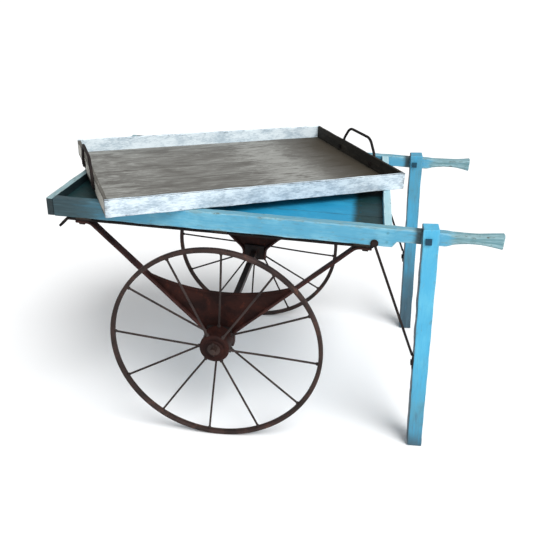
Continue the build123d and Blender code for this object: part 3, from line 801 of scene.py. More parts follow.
@dataclass(frozen=True)
class WeatheredTimber:
    """Bare grey boards: long streaks, scuffs, and a dark stain where the grime-and-shade value is: dirt, and
    painted shade in the tray's corners.
    """

    name: str
    pale: Colour
    middle: Colour
    dark: Colour
    stain_and_shade: Colour
    joint: float = 0.5           # how dark the boards' edges go

    def build(self) -> bpy.types.Material:
        """Make the material.

        Returns:
            The finished material.
        """
        s = Shader(self.name)
        clouds = s.noise(s.grain((1, 2.2, 2.2)), 7.0, 5.0, 0.6, 0.6)
        streaks = s.noise(s.grain((1, 12, 12)), 9.0, 7.0, 0.66, 0.35)
        fine = s.noise(s.grain((2.5, 55, 55)), 16.0, 5.0, 0.7)
        scuff = s.noise(s.grain((1, 3, 3)), 24.0, 6.0, 0.7, 0.8)
        arris, wear, grime_and_shade = (s.attribute(k) for k in ("arris", "wear", "grime_and_shade"))
        tone = streaks * 0.55 + clouds * 0.45
        colour = s.mix(tone.step(0.38, 0.60), self.dark, self.middle)
        colour = s.mix((tone * 0.6 + scuff * 0.5 + wear * 0.15).step(0.56, 0.72) * 0.8, colour, self.pale)
        colour = s.mix(fine.step(0.56, 0.72) * 0.4, colour, tuple(0.45 * c for c in self.dark))
        # the grime-and-shade value darkens the boards: dirt on the tray planks, painted shade in the tray's
        # corners
        dirt_and_shade = (grime_and_shade + (clouds - 0.5) * 0.8 * grime_and_shade.step(0.02, 0.3)).step(0.2, 1.0)
        colour = s.mix(dirt_and_shade, colour, self.stain_and_shade)
        colour = s.mix(arris.step(0.3, 0.9) * self.joint, colour, tuple(0.5 * c for c in self.dark))
        rough = 0.70 + (streaks - 0.5) * 0.3
        relief = streaks * 0.5 + fine * 0.5
        return s.finished(colour, rough, relief, 0.0008, specular=0.3)


@dataclass(frozen=True)
class OldIron:
    """Forged iron under old black, rusting in blotches."""

    name: str
    black: Colour
    brown: Colour
    rust: Colour
    rusted: float = 0.5
    smooth: float = 0.0
    metallic: float = 0.0
    gloss: float = 0.3

    def build(self) -> bpy.types.Material:
        """Make the material.

        Returns:
            The finished material.
        """
        s = Shader(self.name)
        clouds = s.noise(s.place(), 14.0, 5.0, 0.6, 0.4)
        pits = s.noise(s.place(), 160.0, 5.0, 0.7)
        blotch = s.noise(s.place(), 46.0, 6.0, 0.62, 0.5)
        colour = s.mix(clouds.step(0.36, 0.62), self.black, self.brown)
        start = 0.66 - 0.16 * self.rusted
        spread = (blotch * 0.6 + pits * 0.25 + clouds * 0.25).step(start, start + 0.14)
        colour = s.mix(spread, colour, self.rust)
        colour = s.mix(pits.step(0.60, 0.72) * 0.6, colour, tuple(0.4 * c for c in self.black))
        rough = 0.68 - self.smooth + spread * 0.2 + (pits - 0.5) * 0.2
        relief = pits * 0.5 + blotch * 0.5
        return s.finished(colour, rough, relief, 0.0005, self.metallic, self.gloss)


# rails: the soot-and-shade colour darkens the dirty front end, and paints the shade inside the box's front
# corner and the shadow before the legs
RAIL_BLUE = WornPaint("rail_blue", srgb(78, 150, 180), srgb(112, 174, 196), srgb(50, 112, 142),
                      srgb(92, 126, 130), srgb(96, 108, 104), srgb(40, 60, 66), srgb(176, 208, 216),
                      pale_edge_highlight=0.2)
# legs: the soot-and-shade colour also paints the shade on their faces towards the cart's front
LEG_BLUE = replace(RAIL_BLUE, name="leg_blue", body=srgb(70, 162, 200), faded=srgb(92, 178, 208),
                   deep=srgb(50, 134, 174), under=srgb(84, 140, 162), soot_and_shade=srgb(50, 74, 86),
                   edge=srgb(96, 150, 170), rubbed=-0.03)
NEAR_WASH = Whitewash("near_wash", srgb(204, 217, 225), srgb(146, 164, 178), srgb(110, 114, 114),
                      srgb(28, 22, 18))
FINISHES = {finish.name: finish for finish in (
    RAIL_BLUE,
    LEG_BLUE,
    replace(RAIL_BLUE, name="panel_blue", body=srgb(60, 148, 180), under=srgb(160, 194, 202),
            timber=srgb(150, 176, 180), edge=srgb(182, 210, 218), pale_edge_highlight=0.4),
    # front board: its soot-and-shade colour paints the deep shade inside the box's front end and on the
    # board's outer face
    replace(RAIL_BLUE, name="dirt_and_shade_blue", under=srgb(128, 152, 154), soot_and_shade=srgb(24, 38, 42),
            edge=srgb(190, 212, 212), rubbed=0.04),
    # box floor: its soot-and-shade colour is the painted shade at the front end and the tray's painted shadow
    # at the rear
    WornPaint("blue_floor", srgb(30, 134, 174), srgb(50, 154, 192), srgb(18, 100, 138), srgb(50, 118, 140),
              srgb(70, 96, 100), srgb(9, 40, 42), srgb(34, 104, 130), fade=0.3),
    NEAR_WASH,
    replace(NEAR_WASH, name="far_wash", wash=srgb(222, 234, 240), patch=srgb(166, 184, 196)),
    replace(NEAR_WASH, name="front_wash", wash=srgb(178, 176, 168), patch=srgb(150, 148, 140),
            timber=srgb(40, 36, 30), edge_wear=0.55),
    WeatheredTimber("dark_boards", srgb(70, 64, 54), srgb(42, 38, 30), srgb(20, 17, 13),
                    srgb(12, 10, 8), 0.3),
    WeatheredTimber("grey_planks", srgb(150, 151, 147), srgb(118, 118, 114), srgb(88, 86, 82),
                    srgb(56, 50, 40), 0.12),
    WeatheredTimber("bare_timber", srgb(92, 80, 68), srgb(66, 56, 46), srgb(44, 36, 30), srgb(30, 25, 20)),
    OldIron("old_iron", srgb(18, 14, 14), srgb(30, 22, 20), srgb(48, 31, 26), gloss=0.2),
    OldIron("web_iron", srgb(26, 9, 7), srgb(44, 19, 14), srgb(70, 34, 24), 0.45, gloss=0.15),
    OldIron("arm_iron", srgb(42, 22, 20), srgb(60, 34, 30), srgb(84, 50, 42), 0.4, gloss=0.2),
    OldIron("rim_iron", srgb(32, 21, 18), srgb(52, 36, 32), srgb(88, 60, 50), 0.5),
    OldIron("spoke_iron", srgb(38, 31, 30), srgb(54, 44, 42), srgb(78, 54, 48), 0.3, gloss=0.2),
    OldIron("axle_iron", srgb(40, 26, 22), srgb(60, 42, 36), srgb(84, 52, 40), 0.3, 0.1, 0.4, 0.5),
    OldIron("painted_bolts", srgb(12, 54, 74), srgb(18, 70, 90), srgb(56, 60, 58), 0.2, 0.1),
    OldIron("painted_nails", srgb(66, 126, 148), srgb(84, 144, 164), srgb(76, 96, 100), 0.2),
    # floor nails: dark blue, darkened to match the painted shade band on the box floor
    OldIron("floor_nails", srgb(18, 60, 72), srgb(26, 74, 88), srgb(40, 66, 74), 0.2),
    OldIron("washed_nails", srgb(168, 184, 192), srgb(190, 204, 212), srgb(140, 146, 146), 0.2),
)}


# ---- the cart -----------------------------------------------------------------------------------

@dataclass
class Bench:
    """What every sub-assembly works with: the settings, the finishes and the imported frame."""

    frame: dict
    ground: Setting = field(default_factory=ground_setting)
    deck: Setting = field(default_factory=deck_setting)
    materials: dict = field(init=False)
    tray: Setting = field(init=False)

    def __post_init__(self) -> None:
        """Make the finishes once, and turn the tray's setting."""
        self.materials = {key: finish.build() for key, finish in FINISHES.items()}
        self.tray = self.deck.turned(TRAY_TURN)

    def fit(self, surface: Surface, name: str, node: str, finish: str, slot: str = "") -> None:
        """Show a surface in place of a frame node, riding where that node rides.

        Args:
            surface: the finished surface.
            name: name of the new piece.
            node: the node that it stands for.
            finish: key of its finish.
            slot: the record's slot, where it isn't named like the finish; not used.
        """
        piece = surface.shown(name)
        piece.data.materials.append(self.materials[finish])
        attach(piece, self.frame["nodes"][node]["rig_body"])
        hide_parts(node)
        LOG.info("%s: %d faces, for %s", name, len(piece.data.polygons), node)

    def plank(self, node: str, name: str, finish: str, setting: Setting, rounding: float, age: Age,
              tone: Tone = clean, slot: str = "", section: Section = FLAT, pitch: float = 0.012) -> None:
        """Show a worn board in place of a frame node, as large as it; arguments as in board() and fit()."""
        surface = board(setting, *setting.extent(node), rounding, age, tone, section, pitch)
        self.fit(surface, f"{node}_{name}", node, finish, slot)

    def dress(self, node: str, finish: str) -> None:
        """Give a frame node that keeps its own shape a finish.

        Args:
            node: name of the frame node.
            finish: key of its finish.
        """
        shape = self.frame["nodes"][node]
        shape.data.materials.clear()
        shape.data.materials.append(self.materials[finish])
        LOG.info("%s: dressed in %s", node, finish)


@dataclass
class Timberwork:
    """Rails with their grips, boards, bearers and legs."""

    bench: Bench
    rounding: float = 0.0022
    grip_rounding: float = 0.008
    shaft_height: float = 0.040
    step_setback: float = 0.004
    step_length: float = 0.012
    handle_start: float = 0.672
    handle_waist: float = 0.738
    waist_height: float = 0.029
    waist_lift: float = 0.001
    end_height: float = 0.046
    end_rise: float = 0.009
    front_dirt_and_shade: float = 0.26          # how far the dirt outside and the painted shade inside the box's front corner reach from the front end
    swelling: float = 0.0006           # how far a floor board has swollen into the gap beside it

    def build(self) -> None:
        """Make every wooden piece of the cart itself."""
        for number, side in enumerate(SIDES):
            self.rail(side, 11 + number)
            self.leg(side, 21 + number)
        self.boards()
        for number in range(1, 7):
            self.floor_board(number)

    def rail(self, side: str, seed: int) -> None:
        """Side rail: a plank whose lower edge steps up behind the box and whose end is a flared grip.

        The height of its top and bottom over the axle are functions of the place along the cart:
        straight, then a parabola through the start, the waist and the end of the grip.

        Args:
            side: left or right.
            seed: for its unevenness.
        """
        node = f"{side}_side_rail"
        low, high = self.bench.deck.extent(node)
        rear = self.bench.deck.extent("rear_board")[1][0]
        leg_front = self.bench.deck.extent(f"{side}_leg")[0][0]
        top, length = high[2] - self.end_rise, high[0] - low[0]
        extra = np.concatenate([rear + self.step_setback + np.linspace(0, self.step_length, 3),
                                np.linspace(self.handle_start, high[0], 22)]) - low[0]
        distance, inset, share = stations(length, self.rounding, 0.012, extra)
        x = low[0] + distance
        knots = [self.handle_start, self.handle_waist, high[0]]
        over = np.polyfit(knots, [top, top + self.waist_lift, high[2]], 2)
        under = np.polyfit(knots, [top - self.shaft_height, top + self.waist_lift - self.waist_height,
                                   high[2] - self.end_height], 2)
        in_grip = x > self.handle_start
        upper = np.where(in_grip, np.polyval(over, x), top)
        shaft = np.where(in_grip, np.polyval(under, x), top - self.shaft_height)
        step = np.clip((x - rear - self.step_setback) / self.step_length, 0, 1)
        lower = low[2] + (shaft - low[2]) * step
        round_share = np.clip((x - self.handle_start + 0.004) / 0.02, 0, 1)
        radius = self.rounding + (self.grip_rounding - self.rounding) * round_share
        path = np.stack([x, np.full_like(x, (low[1] + high[1]) / 2), (upper + lower) / 2], 1)
        middle = np.full(len(x), path[:, 2].mean())
        straight = np.stack([x, path[:, 1], middle], 1)

        def tone(place: Array, around: Array) -> tuple[Array, Array]:
            """Grip rubbed to grey, top bleached, dirt outside and painted shade inside at the front end, a
            painted shadow just before the leg, and dirt along the grip.

            Args:
                place: distance along the rail.
                around: angle round its section.

            Returns:
                Wear, and dirt with painted shade.
            """
            along, rise = low[0] + place, np.sin(around)
            grip = np.clip((along - self.handle_start + 0.02) / 0.05, 0, 1)
            wear = np.maximum(grip * 0.62, 0.40 * np.clip((rise - 0.7) / 0.3, 0, 1))
            # dirty outer face and painted shade on the inner face in the box's dark front corner, one value
            # all round
            grime_and_shade = 0.85 * np.clip(1.15 - place / self.front_dirt_and_shade, 0, 1)
            # painted shadow on the rail just in front of the leg
            grime_and_shade = grime_and_shade + 1.1 * np.exp(-((along - leg_front + 0.008) / 0.011) ** 2)
            band = np.exp(-((np.abs(around) - 0.75 * np.pi) / 0.5) ** 2) * (rise > 0)
            return wear, grime_and_shade + 0.30 * grip * band

        surface = swept(straight, SIDEWAYS, (high[1] - low[1]) / 2, (upper - lower) / 2, radius,
                        inset, share, FLAT, Age(0.0006, 0.0022, 0.0003, seed), tone)
        lift = path[:, 2] - middle
        around = (len(surface.points) - 2) // (len(x) - 2)
        surface.points[:, 2] += np.concatenate([lift[:1], np.repeat(lift[1:-1], around), lift[-1:]])
        surface.points = self.bench.deck.to_cart(surface.points)
        self.bench.fit(surface, f"{side}_rail_and_grip", node, "rail_blue", "blue_paint")

    def leg(self, side: str, seed: int) -> None:
        """Upright post with a worn foot; the rail passes through it.

        Args:
            side: left or right.
            seed: for its unevenness.
        """
        # the right leg, on the far side of the cart, is made darker all over
        far_leg_darkening = 0.34 if side == "right" else 0.0

        def tone(place: Array, around: Array) -> tuple[Array, Array]:
            """Foot scuffed, dirt thinning out towards the middle, and painted shade on the face towards the
            cart's front end.

            Args:
                place: distance along the leg.
                around: angle round its section.

            Returns:
                Wear, and dirt with painted shade.
            """
            scuff, front = np.clip(1 - place / 0.06, 0, 1), np.clip(-np.cos(around), 0, 1)
            grime_and_shade = 0.50 * np.clip(1 - place / 0.45, 0, 1) + 0.25 * scuff + far_leg_darkening
            # painted shade on the side that faces away from the light, towards the cart's front end
            return 0.35 * scuff, grime_and_shade + 0.8 * front ** 2

        upright = self.bench.ground.run(Run.UP)
        self.bench.plank(f"{side}_leg", "post", "leg_blue", upright, 0.003, Age(0.0007, 0.0026, 0.0003, seed),
                         tone, "blue_paint")

    def boards(self) -> None:
        """Front board, rear panel and the three bearers, their grain across the cart."""
        cross = self.bench.deck.run(Run.ACROSS)

        def shaded_faces(place: Array, around: Array) -> tuple[Array, Array]:
            """Painted shade over the faces and the underside, much less on the top, which is worn pale."""
            top = np.clip(np.cos(around), 0, 1)
            return 0.1 + 0.5 * top, 0.95 - 0.75 * top

        def bleached(place: Array, around: Array) -> tuple[Array, Array]:
            """Paint worn pale along the top."""
            return 0.8 * np.clip(np.cos(around), 0, 1), 0 * around

        for seed, node, finish, tone in ((31, "front_board", "dirt_and_shade_blue", shaded_faces),
                                         (32, "rear_board", "panel_blue", bleached)):
            self.bench.plank(node, "plank", finish, cross, self.rounding, Age(0.0006, 0.002, 0.0003, seed),
                             tone, "blue_paint")
        for seed, node in enumerate(("front_bearer", "middle_bearer", "rear_bearer"), 41):
            self.bench.plank(node, "timber", "bare_timber", cross, self.rounding,
                             Age(0.0006, 0.002, 0.0003, seed))

    def floor_board(self, number: int) -> None:
        """One board of the box's floor, its grain along the cart.

        Args:
            number: its number in the node's name.
        """
        def tone(place: Array, around: Array) -> tuple[Array, Array]:
            """Painted shade in the box's dark front end, and a painted shadow of the tray in a band along the
            rear.
            """
            # painted shadow of the tray across the rear of the floor
            rear = np.clip((place - place[-1] + 0.105) / 0.03, 0, 1)
            return 0 * place, np.clip(1.2 - place / 0.2, 0, 1) + 0.8 * rear

        node = f"floor_board_{number}"
        swelling = np.array([0.0, self.swelling, 0.0])
        low, high = self.bench.deck.extent(node)
        surface = board(self.bench.deck, low - swelling, high + swelling, 0.001,
                        Age(0.0004, 0.0008, 0.0003, 50 + number), tone, FINE)
        self.bench.fit(surface, f"{node}_plank", node, "blue_floor")


@dataclass
class Undercarriage:
    """Straps, arms, gussets, axle blocks and leg braces in iron."""

    bench: Bench
    bar: float = 0.008
    hook_reach: float = 0.027
    hook_radius: float = 0.014
    arm_bend: float = 0.418            # axle to the bend under the strap
    bend_radius: float = 0.032
    knee_radius: float = 0.040
    gusset_plate: float = 0.006
    gusset_middle: float = 0.158       # lowest point of the hollow edge, over the axle
    gusset_corner: float = 0.206
    gusset_foot: float = 0.012         # web's lower ends, over the axle
    bead: float = 0.011
    brace_rod: float = 0.008
    standoff: float = 0.0002           # brace rod clear of the rail and the leg
    eye_radius: float = 0.012
    eye_plate: float = 0.005
    foot_length: float = 0.048
    foot_plate: float = 0.004

    def build(self) -> None:
        """Make the left side and its twin."""
        self.strap()
        self.arms()
        self.gusset()
        self.block()
        self.brace()

    def both(self, surface: Surface, name: str, node: str, finish: str = "old_iron") -> None:
        """Show a left-hand surface and its right-hand twin."""
        for side, shape in (("left", surface), ("right", mirrored(surface, self.bench.ground))):
            self.bench.fit(shape, f"{side}_{name}", f"{side}_{node}", finish, "old_iron")

    def strap(self) -> None:
        """Flat bar under the bearers with a hook turned down at the front."""
        low, high = self.bench.deck.extent("left_strap")
        level, y = high[2] - self.bar / 2, (low[1] + high[1]) / 2
        front = low[0] + self.hook_reach + self.bar / 4
        corners = [(high[0], y, level), (front, y, level), (low[0] + self.bar / 4, y, low[2] + self.bar / 4)]
        self.both(flat_iron(self.bench.deck, corners, [self.hook_radius], high[1] - low[1], self.bar, 61),
                  "strap_bar", "strap")

    def arm_line(self, toward: float) -> list[tuple[float, float, float]]:
        """Four points, in the deck's setting, that an arm's runs aim at from its tab down to the axle block.

        Args:
            toward: -1 for the front arm, 1 for the rear one.

        Returns:
            The points.
        """
        low, high = self.bench.deck.extent("left_rear_arm")
        block_low, block_high = self.bench.deck.extent("left_axle_block")
        y, level = (low[1] + high[1]) / 2, high[2] - self.bar / 2
        inner = block_high[0] + self.bar / 2
        points = [(high[0], level), (self.arm_bend, level), (inner, block_high[2] / 2), (inner, block_low[2])]
        return [(toward * x, y, z) for x, z in points]

    def arms(self) -> None:
        """Front and rear arm."""
        low, high = self.bench.deck.extent("left_rear_arm")
        for name, toward, seed in (("front_arm", -1, 63), ("rear_arm", 1, 65)):
            surface = flat_iron(self.bench.deck, self.arm_line(toward), [self.bend_radius, self.knee_radius],
                                high[1] - low[1], self.bar, seed)
            self.both(surface, f"{name}_bar", name, "arm_iron")

    def gusset(self) -> None:
        """Web between the arms: a plate whose upper edge is a hollow arc with a rolled bead along it.

        Its half length follows the arms: upright beside the axle block, then straight out to the
        corners. The upper edge is the circle through the two corners and the lowest point.
        """
        _, bend, knee, _ = (np.array(p) for p in self.arm_line(1.0))
        slope = (bend[0] - knee[0]) / (bend[2] - knee[2])
        reach = knee[0] + slope * (self.gusset_corner - knee[2])
        sag = self.gusset_corner - self.gusset_middle
        radius = (reach ** 2 + sag ** 2) / (2 * sag)
        share = np.linspace(-1, 1, 61)
        span = math.asin(reach / radius)

        def level(half: float, height: float) -> Array:
            """Straight line across the web."""
            return np.stack([half * share, 0 * share + knee[1], 0 * share + height], 1)[None]

        top = np.stack([radius * np.sin(span * share), 0 * share + knee[1],
                        self.gusset_middle + radius * (1 - np.cos(span * share))], 1)
        foot, turn = level(knee[0], self.gusset_foot), level(knee[0], knee[2])
        upper = turn + (top - turn) * np.linspace(0, 1, 15)[:, None, None]
        plate = self.slab(np.concatenate([foot, upper]))
        bead = round_bar(self.bench.deck.to_cart(top), self.bead / 2, SIDEWAYS, 67)
        self.both(joined([plate, bead]), "gusset_web", "gusset", "web_iron")

    def slab(self, sheet: Array) -> Surface:
        """Plate with two copies of a sheet as its faces, joined round the edge.

        Args:
            sheet: grid of its middle plane in the deck's setting, shape (rows, columns, 3).

        Returns:
            The plate's surface.
        """
        rows, columns = sheet.shape[:2]
        offset = np.array([0, self.gusset_plate / 2, 0])
        hammered = 0.0006 * ripple(sheet[..., 0] * 9, sheet[..., 2] * 9, 69)[..., None] * np.array([0, 1, 0])
        sheet = sheet + hammered
        points = np.concatenate([(sheet - offset).reshape(-1, 3), (sheet + offset).reshape(-1, 3)])
        index = np.arange(rows * columns).reshape(rows, columns)
        near = np.stack([index[:-1, :-1], index[:-1, 1:], index[1:, 1:], index[1:, :-1]], -1).reshape(-1, 4)
        rim = np.concatenate([index[0, :], index[1:, -1], index[-1, -2::-1], index[-2:0:-1, 0]])
        ahead = np.roll(rim, -1)
        back = rows * columns
        wall = np.stack([rim, ahead, ahead + back, rim + back], -1)
        faces = [tuple(f) for f in np.concatenate([near, near[:, ::-1] + back, wall]).tolist()]
        nothing = np.zeros(len(points))
        return Surface(self.bench.deck.to_cart(points), faces, points, nothing, nothing, nothing)

    def block(self) -> None:
        """Forged block round the axle."""
        low, high = self.bench.deck.extent("left_axle_block")
        surface = board(self.bench.deck, low, high, 0.004, Age(0.0004, 0.001, 0.0, 71), pitch=0.004)
        self.both(surface, "axle_block_forging", "axle_block")

    def brace(self) -> None:
        """Round rod with an eye on the rail and a flattened foot on the leg."""
        low, high = (np.array(p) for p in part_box("left_leg_brace"))
        leg_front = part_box("left_leg")[0][0]
        rail_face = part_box("left_side_rail")[0][1]
        y = rail_face - self.standoff - self.brace_rod / 2
        eye = np.array([low[0] + self.eye_radius, rail_face - self.eye_plate / 2, high[2] - self.eye_radius])
        foot_top = low[2] + self.foot_length
        knee = np.array([leg_front - self.standoff - self.brace_rod / 2, y, foot_top])
        stem = np.linspace(np.array([eye[0], y, eye[2]]), knee, 24)
        rod = round_bar(stem, self.brace_rod / 2, SIDEWAYS, 73)
        half_plate = self.eye_plate / 2 - self.standoff / 2
        line = eye + np.linspace(-half_plate, half_plate, 3)[:, None] * SIDEWAYS
        ring = round_bar(line, self.eye_radius, np.array([1.0, 0.0, 0.0]), 76, 0.0008)
        upright = self.bench.ground.run(Run.UP)
        corners = np.array([[leg_front - self.foot_plate, low[1], low[2]],
                            [leg_front, 2 * y - low[1], foot_top + self.brace_rod / 2]])
        foot_low, foot_high = (corners - upright.origin) @ upright.axes.T
        foot = board(upright, foot_low, foot_high, 0.0015, Age(0.0002, 0.0004, 0.0, 75), pitch=0.006)
        self.both(joined([rod, ring, foot]), "leg_brace_rod", "leg_brace")


@dataclass
class Wheels:
    """Rims, drum hubs and spokes."""

    bench: Bench
    rounding: float = 0.0045
    spokes: int = 12
    spoke_radius: float = 0.0035
    phase: float = math.radians(-7.2)
    row_inset: float = 0.008
    seat: float = 0.012
    rim_cover: float = 0.004
    rim_depth: float = 0.014
    bore: float = 0.01005
    hub_corner: float = 0.006
    spoke_bow: float = 0.0012          # spread of the spokes' bends
    hub_collar: float = 0.0062         # radius
    rim_collar: float = 0.0056         # radius
    rim_collar_seat: float = 0.0104

    def build(self) -> None:
        """Make both wheels."""
        for side, sign in SIDES.items():
            self.rim(side)
            self.hub(side)
            self.spoke_set(side, sign)

    def middle(self, node: str) -> tuple[Array, Array]:
        """Centre and half size of a frame node."""
        low, high = (np.array(p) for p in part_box(node))
        return (low + high) / 2, (high - low) / 2

    def rim(self, side: str) -> None:
        """Tyre: a rounded rectangle turned about the axle, its tread slightly crowned.

        Args:
            side: left or right.
        """
        node = f"{side}_wheel_rim"
        centre, half = self.middle(node)
        a, b, c, s = Section(4, 6).walk()
        x = a * (self.rim_depth / 2 - self.rounding) + self.rounding * c
        y = b * (half[1] - self.rounding) + self.rounding * s
        profile = np.stack([half[0] - self.rim_depth / 2 + x, y], 1)
        surface = spun(profile, centre, 180, 81 if side == "left" else 82, 0.0003)
        self.bench.fit(surface, f"{side}_rim_tyre", node, "rim_iron", "old_iron")

    def hub(self, side: str) -> None:
        """Drum with a rounded rim, a sunk ring on each face and a boss round the bore.

        Args:
            side: left or right.
        """
        node = f"{side}_wheel_hub"
        centre, half = self.middle(node)
        radius, length = half[0], half[1]
        turn, corner = np.linspace(0, np.pi / 2, 5), self.hub_corner
        rim = np.stack([radius - corner + corner * np.sin(turn), length - corner + corner * np.cos(turn)], 1)
        face = np.array([(self.bore, length), (0.024, length), (0.0262, length - 0.0008),
                         (0.0275, length - 0.0028), (0.034, length - 0.0030), (0.0355, length - 0.0012),
                         (0.037, length - 0.0004)])
        waist = np.array([(radius, length * 0.55), (radius - 0.0012, length * 0.3), (radius - 0.0016, 0.0)])
        upper = np.concatenate([face, rim, waist])
        lower = (upper * np.array([1, -1]))[::-1][1:]
        surface = spun(np.concatenate([upper, lower]), centre, 96, 83, 0.0003)
        self.bench.fit(surface, f"{side}_hub_drum", node, "web_iron", "old_iron")

    def spoke_set(self, side: str, sign: float) -> None:
        """Twelve rods set by turns in the outer and inner end of the hub, with collars at both ends.

        Args:
            side: left or right.
            sign: -1 for the left wheel, 1 for the right one.
        """
        node = f"{side}_wheel_spokes"
        hub, hub_half = self.middle(f"{side}_wheel_hub")
        rim, rim_half = self.middle(f"{side}_wheel_rim")
        reach = sign * (hub_half[1] - self.row_inset)
        rows = (hub[1] + reach, hub[1] - reach)
        draw = np.random.default_rng(85 if side == "left" else 86)
        pieces = []
        for number in range(self.spokes):
            angle = self.phase + number * 2 * math.pi / self.spokes
            out = np.array([math.cos(angle), 0.0, math.sin(angle)])
            start = np.array([hub[0], rows[number % 2], hub[2]]) + out * (hub_half[0] - self.seat)
            end = rim + out * (rim_half[0] - self.rim_cover)
            share = np.linspace(0, 1, 18)[:, None]
            bow = np.cross(out, SIDEWAYS) * draw.normal(0, self.spoke_bow) * np.sin(np.pi * share)
            line = start + (end - start) * share + bow
            run = (end - start) / np.linalg.norm(end - start)
            by_hub = start + run * (self.seat + np.linspace(-0.002, 0.006, 4)[:, None])
            by_rim = end - run * (self.rim_collar_seat + np.linspace(-0.002, 0.005, 4)[:, None])
            pieces += [round_bar(line, self.spoke_radius, SIDEWAYS, 87),
                       round_bar(by_hub, self.hub_collar, SIDEWAYS, 88),
                       round_bar(by_rim, self.rim_collar, SIDEWAYS, 89)]
        self.bench.fit(joined(pieces), f"{side}_spoke_rods", node, "spoke_iron", "old_iron")


@dataclass
class Tray:
    """Loose tray: planks between four walls, and a bent iron handle on each end."""

    bench: Bench
    rounding: float = 0.0018
    plank_edge: float = 0.0006
    rod: float = 0.010
    foot: float = 0.120
    top_half: float = 0.078
    rise: float = 0.051
    bend: float = 0.045
    lug: float = 0.024
    lug_rise: float = 0.024
    standoff: float = 0.0002           # rod and lug clear of the wall

    def build(self) -> None:
        """Make the planks, the walls and the handles."""
        for number in range(1, 6):
            self.plank(number)
        self.wall("tray_near_wall", Run.ALONG, "near_wash", "whitewash", 111)
        self.wall("tray_far_wall", Run.ALONG, "far_wash", "whitewash", 112)
        self.wall("tray_front_wall", Run.ACROSS, "front_wash", "dark_boards", 113)
        self.wall("tray_rear_wall", Run.ACROSS, "dark_boards", "dark_boards", 114)
        for name, toward in (("front", -1.0), ("rear", 1.0)):
            self.handle(name, toward)

    def plank(self, number: int) -> None:
        """Floor plank, its grain along the tray; stained towards the rear end.

        Args:
            number: its number in the node's name.
        """
        def tone(place: Array, around: Array) -> tuple[Array, Array]:
            """Grime grows towards the rear end, scuffs before it and at the front.

            Args:
                place: distance along the plank.
                around: angle round its section.

            Returns:
                Wear and grime.
            """
            share = place / place[-1]
            wear = 0.9 * np.exp(-((share - 0.68) / 0.13) ** 2) + 0.6 * np.clip(1 - share / 0.25, 0, 1)
            return wear, np.clip((share - 0.66) / 0.34, 0, 1) * 1.1

        self.bench.plank(f"tray_plank_{number}", "board", "grey_planks", self.bench.tray, self.plank_edge,
                         Age(0.0003, 0.0004, 0.0003, 101 + number), tone, section=FINE)

    def wall(self, node: str, way: Run, finish: str, slot: str, seed: int) -> None:
        """One wall of the tray, its grain along it.

        Args:
            node: the wall's node.
            way: which way its grain runs in the tray.
            finish: key of its finish.
            slot: the record's slot.
            seed: for its unevenness.
        """
        # darker line along one edge: the near wall's outer top edge; on the other walls a bottom edge, which
        # puts painted shade in the crease where the far and rear walls meet the floor
        darkened_edge = 0.75 * np.pi if node == "tray_near_wall" else -0.75 * np.pi

        def tone(place: Array, around: Array) -> tuple[Array, Array]:
            """Wash worn at random; painted shade in the corners, and a darker line along one edge."""
            # painted shade near both ends of each wall, where the walls meet in the corners
            corner = np.exp(-np.minimum(place, place[-1] - place) / 0.03)
            return 0 * place, 0.45 * corner + 0.9 * np.exp(-((around - darkened_edge) / 0.45) ** 2)

        self.bench.plank(node, "board", finish, self.bench.tray.run(way), self.rounding,
                         Age(0.0006, 0.0016, 0.0003, seed), tone, slot, FINE)

    def handle(self, name: str, toward: float) -> None:
        """Bent rod over an end wall, with a lug at each foot: it runs up, leans in, crosses and comes down.

        Args:
            name: front or rear.
            toward: -1 for the front end, 1 for the rear one.
        """
        node = f"tray_{name}_handle"
        wall_low, wall_high = self.bench.tray.extent(f"tray_{name}_wall")
        middle = (wall_low[1] + wall_high[1]) / 2
        face = wall_high[0] if toward > 0 else wall_low[0]
        x = face + toward * (self.rod / 2 + self.standoff)
        heights = (wall_low[2] + self.lug_rise, wall_high[2], wall_high[2] + self.rise)
        half = [(x, self.foot, heights[0]), (x, self.foot, heights[1]), (x, self.top_half, heights[2])]
        corners = [(px, middle + py, pz) for px, py, pz in half]
        corners += [(px, middle - py, pz) for px, py, pz in reversed(half)]
        path, inset, share = along_path(rounded_path(corners, [self.bend] * 4, 0.008), 0.001)
        rod = swept(path, np.array([1.0, 0.0, 0.0]), self.rod / 2, self.rod / 2, self.rod / 2, inset, share,
                    ROUND, Age(0, 0, 0, 121), setting=self.bench.tray)
        lugs = [self.lug_disc(face, toward, middle + side * self.foot, heights[0]) for side in (-1, 1)]
        self.bench.fit(joined([rod, *lugs]), f"{node}_rod", node, "old_iron")

    def lug_disc(self, face: float, toward: float, across: float, height: float) -> Surface:
        """Flat round lug on the wall's outer face.

        Args:
            face: place of the wall's face along the tray.
            toward: -1 at the front end, 1 at the rear one.
            across: place across the tray.
            height: height in the tray's setting.

        Returns:
            The lug's surface.
        """
        x = face + toward * np.linspace(self.standoff, 0.004, 3)
        line = np.stack([x, np.full(3, across), np.full(3, height)], 1)
        return round_bar(self.bench.tray.to_cart(line), self.lug / 2, np.array([0.0, 0.0, 1.0]), 123, 0.0008)


@dataclass
class Hardware:
    """Frame nodes that keep their own shape and only take a finish."""

    bench: Bench

    def build(self) -> None:
        """Dress the axle, its washers and pins, the bolts and the nails."""
        for node, finish in {"axle": "axle_iron", "axle_washers": "axle_iron", "linch_pins": "axle_iron",
                             "leg_bolts": "painted_bolts", "brace_bolts": "old_iron",
                             "frame_bolts": "old_iron", "tray_handle_bolts": "old_iron",
                             "box_nails": "painted_nails", "floor_nails": "floor_nails",
                             "tray_nails": "washed_nails"}.items():
            self.bench.dress(node, finish)


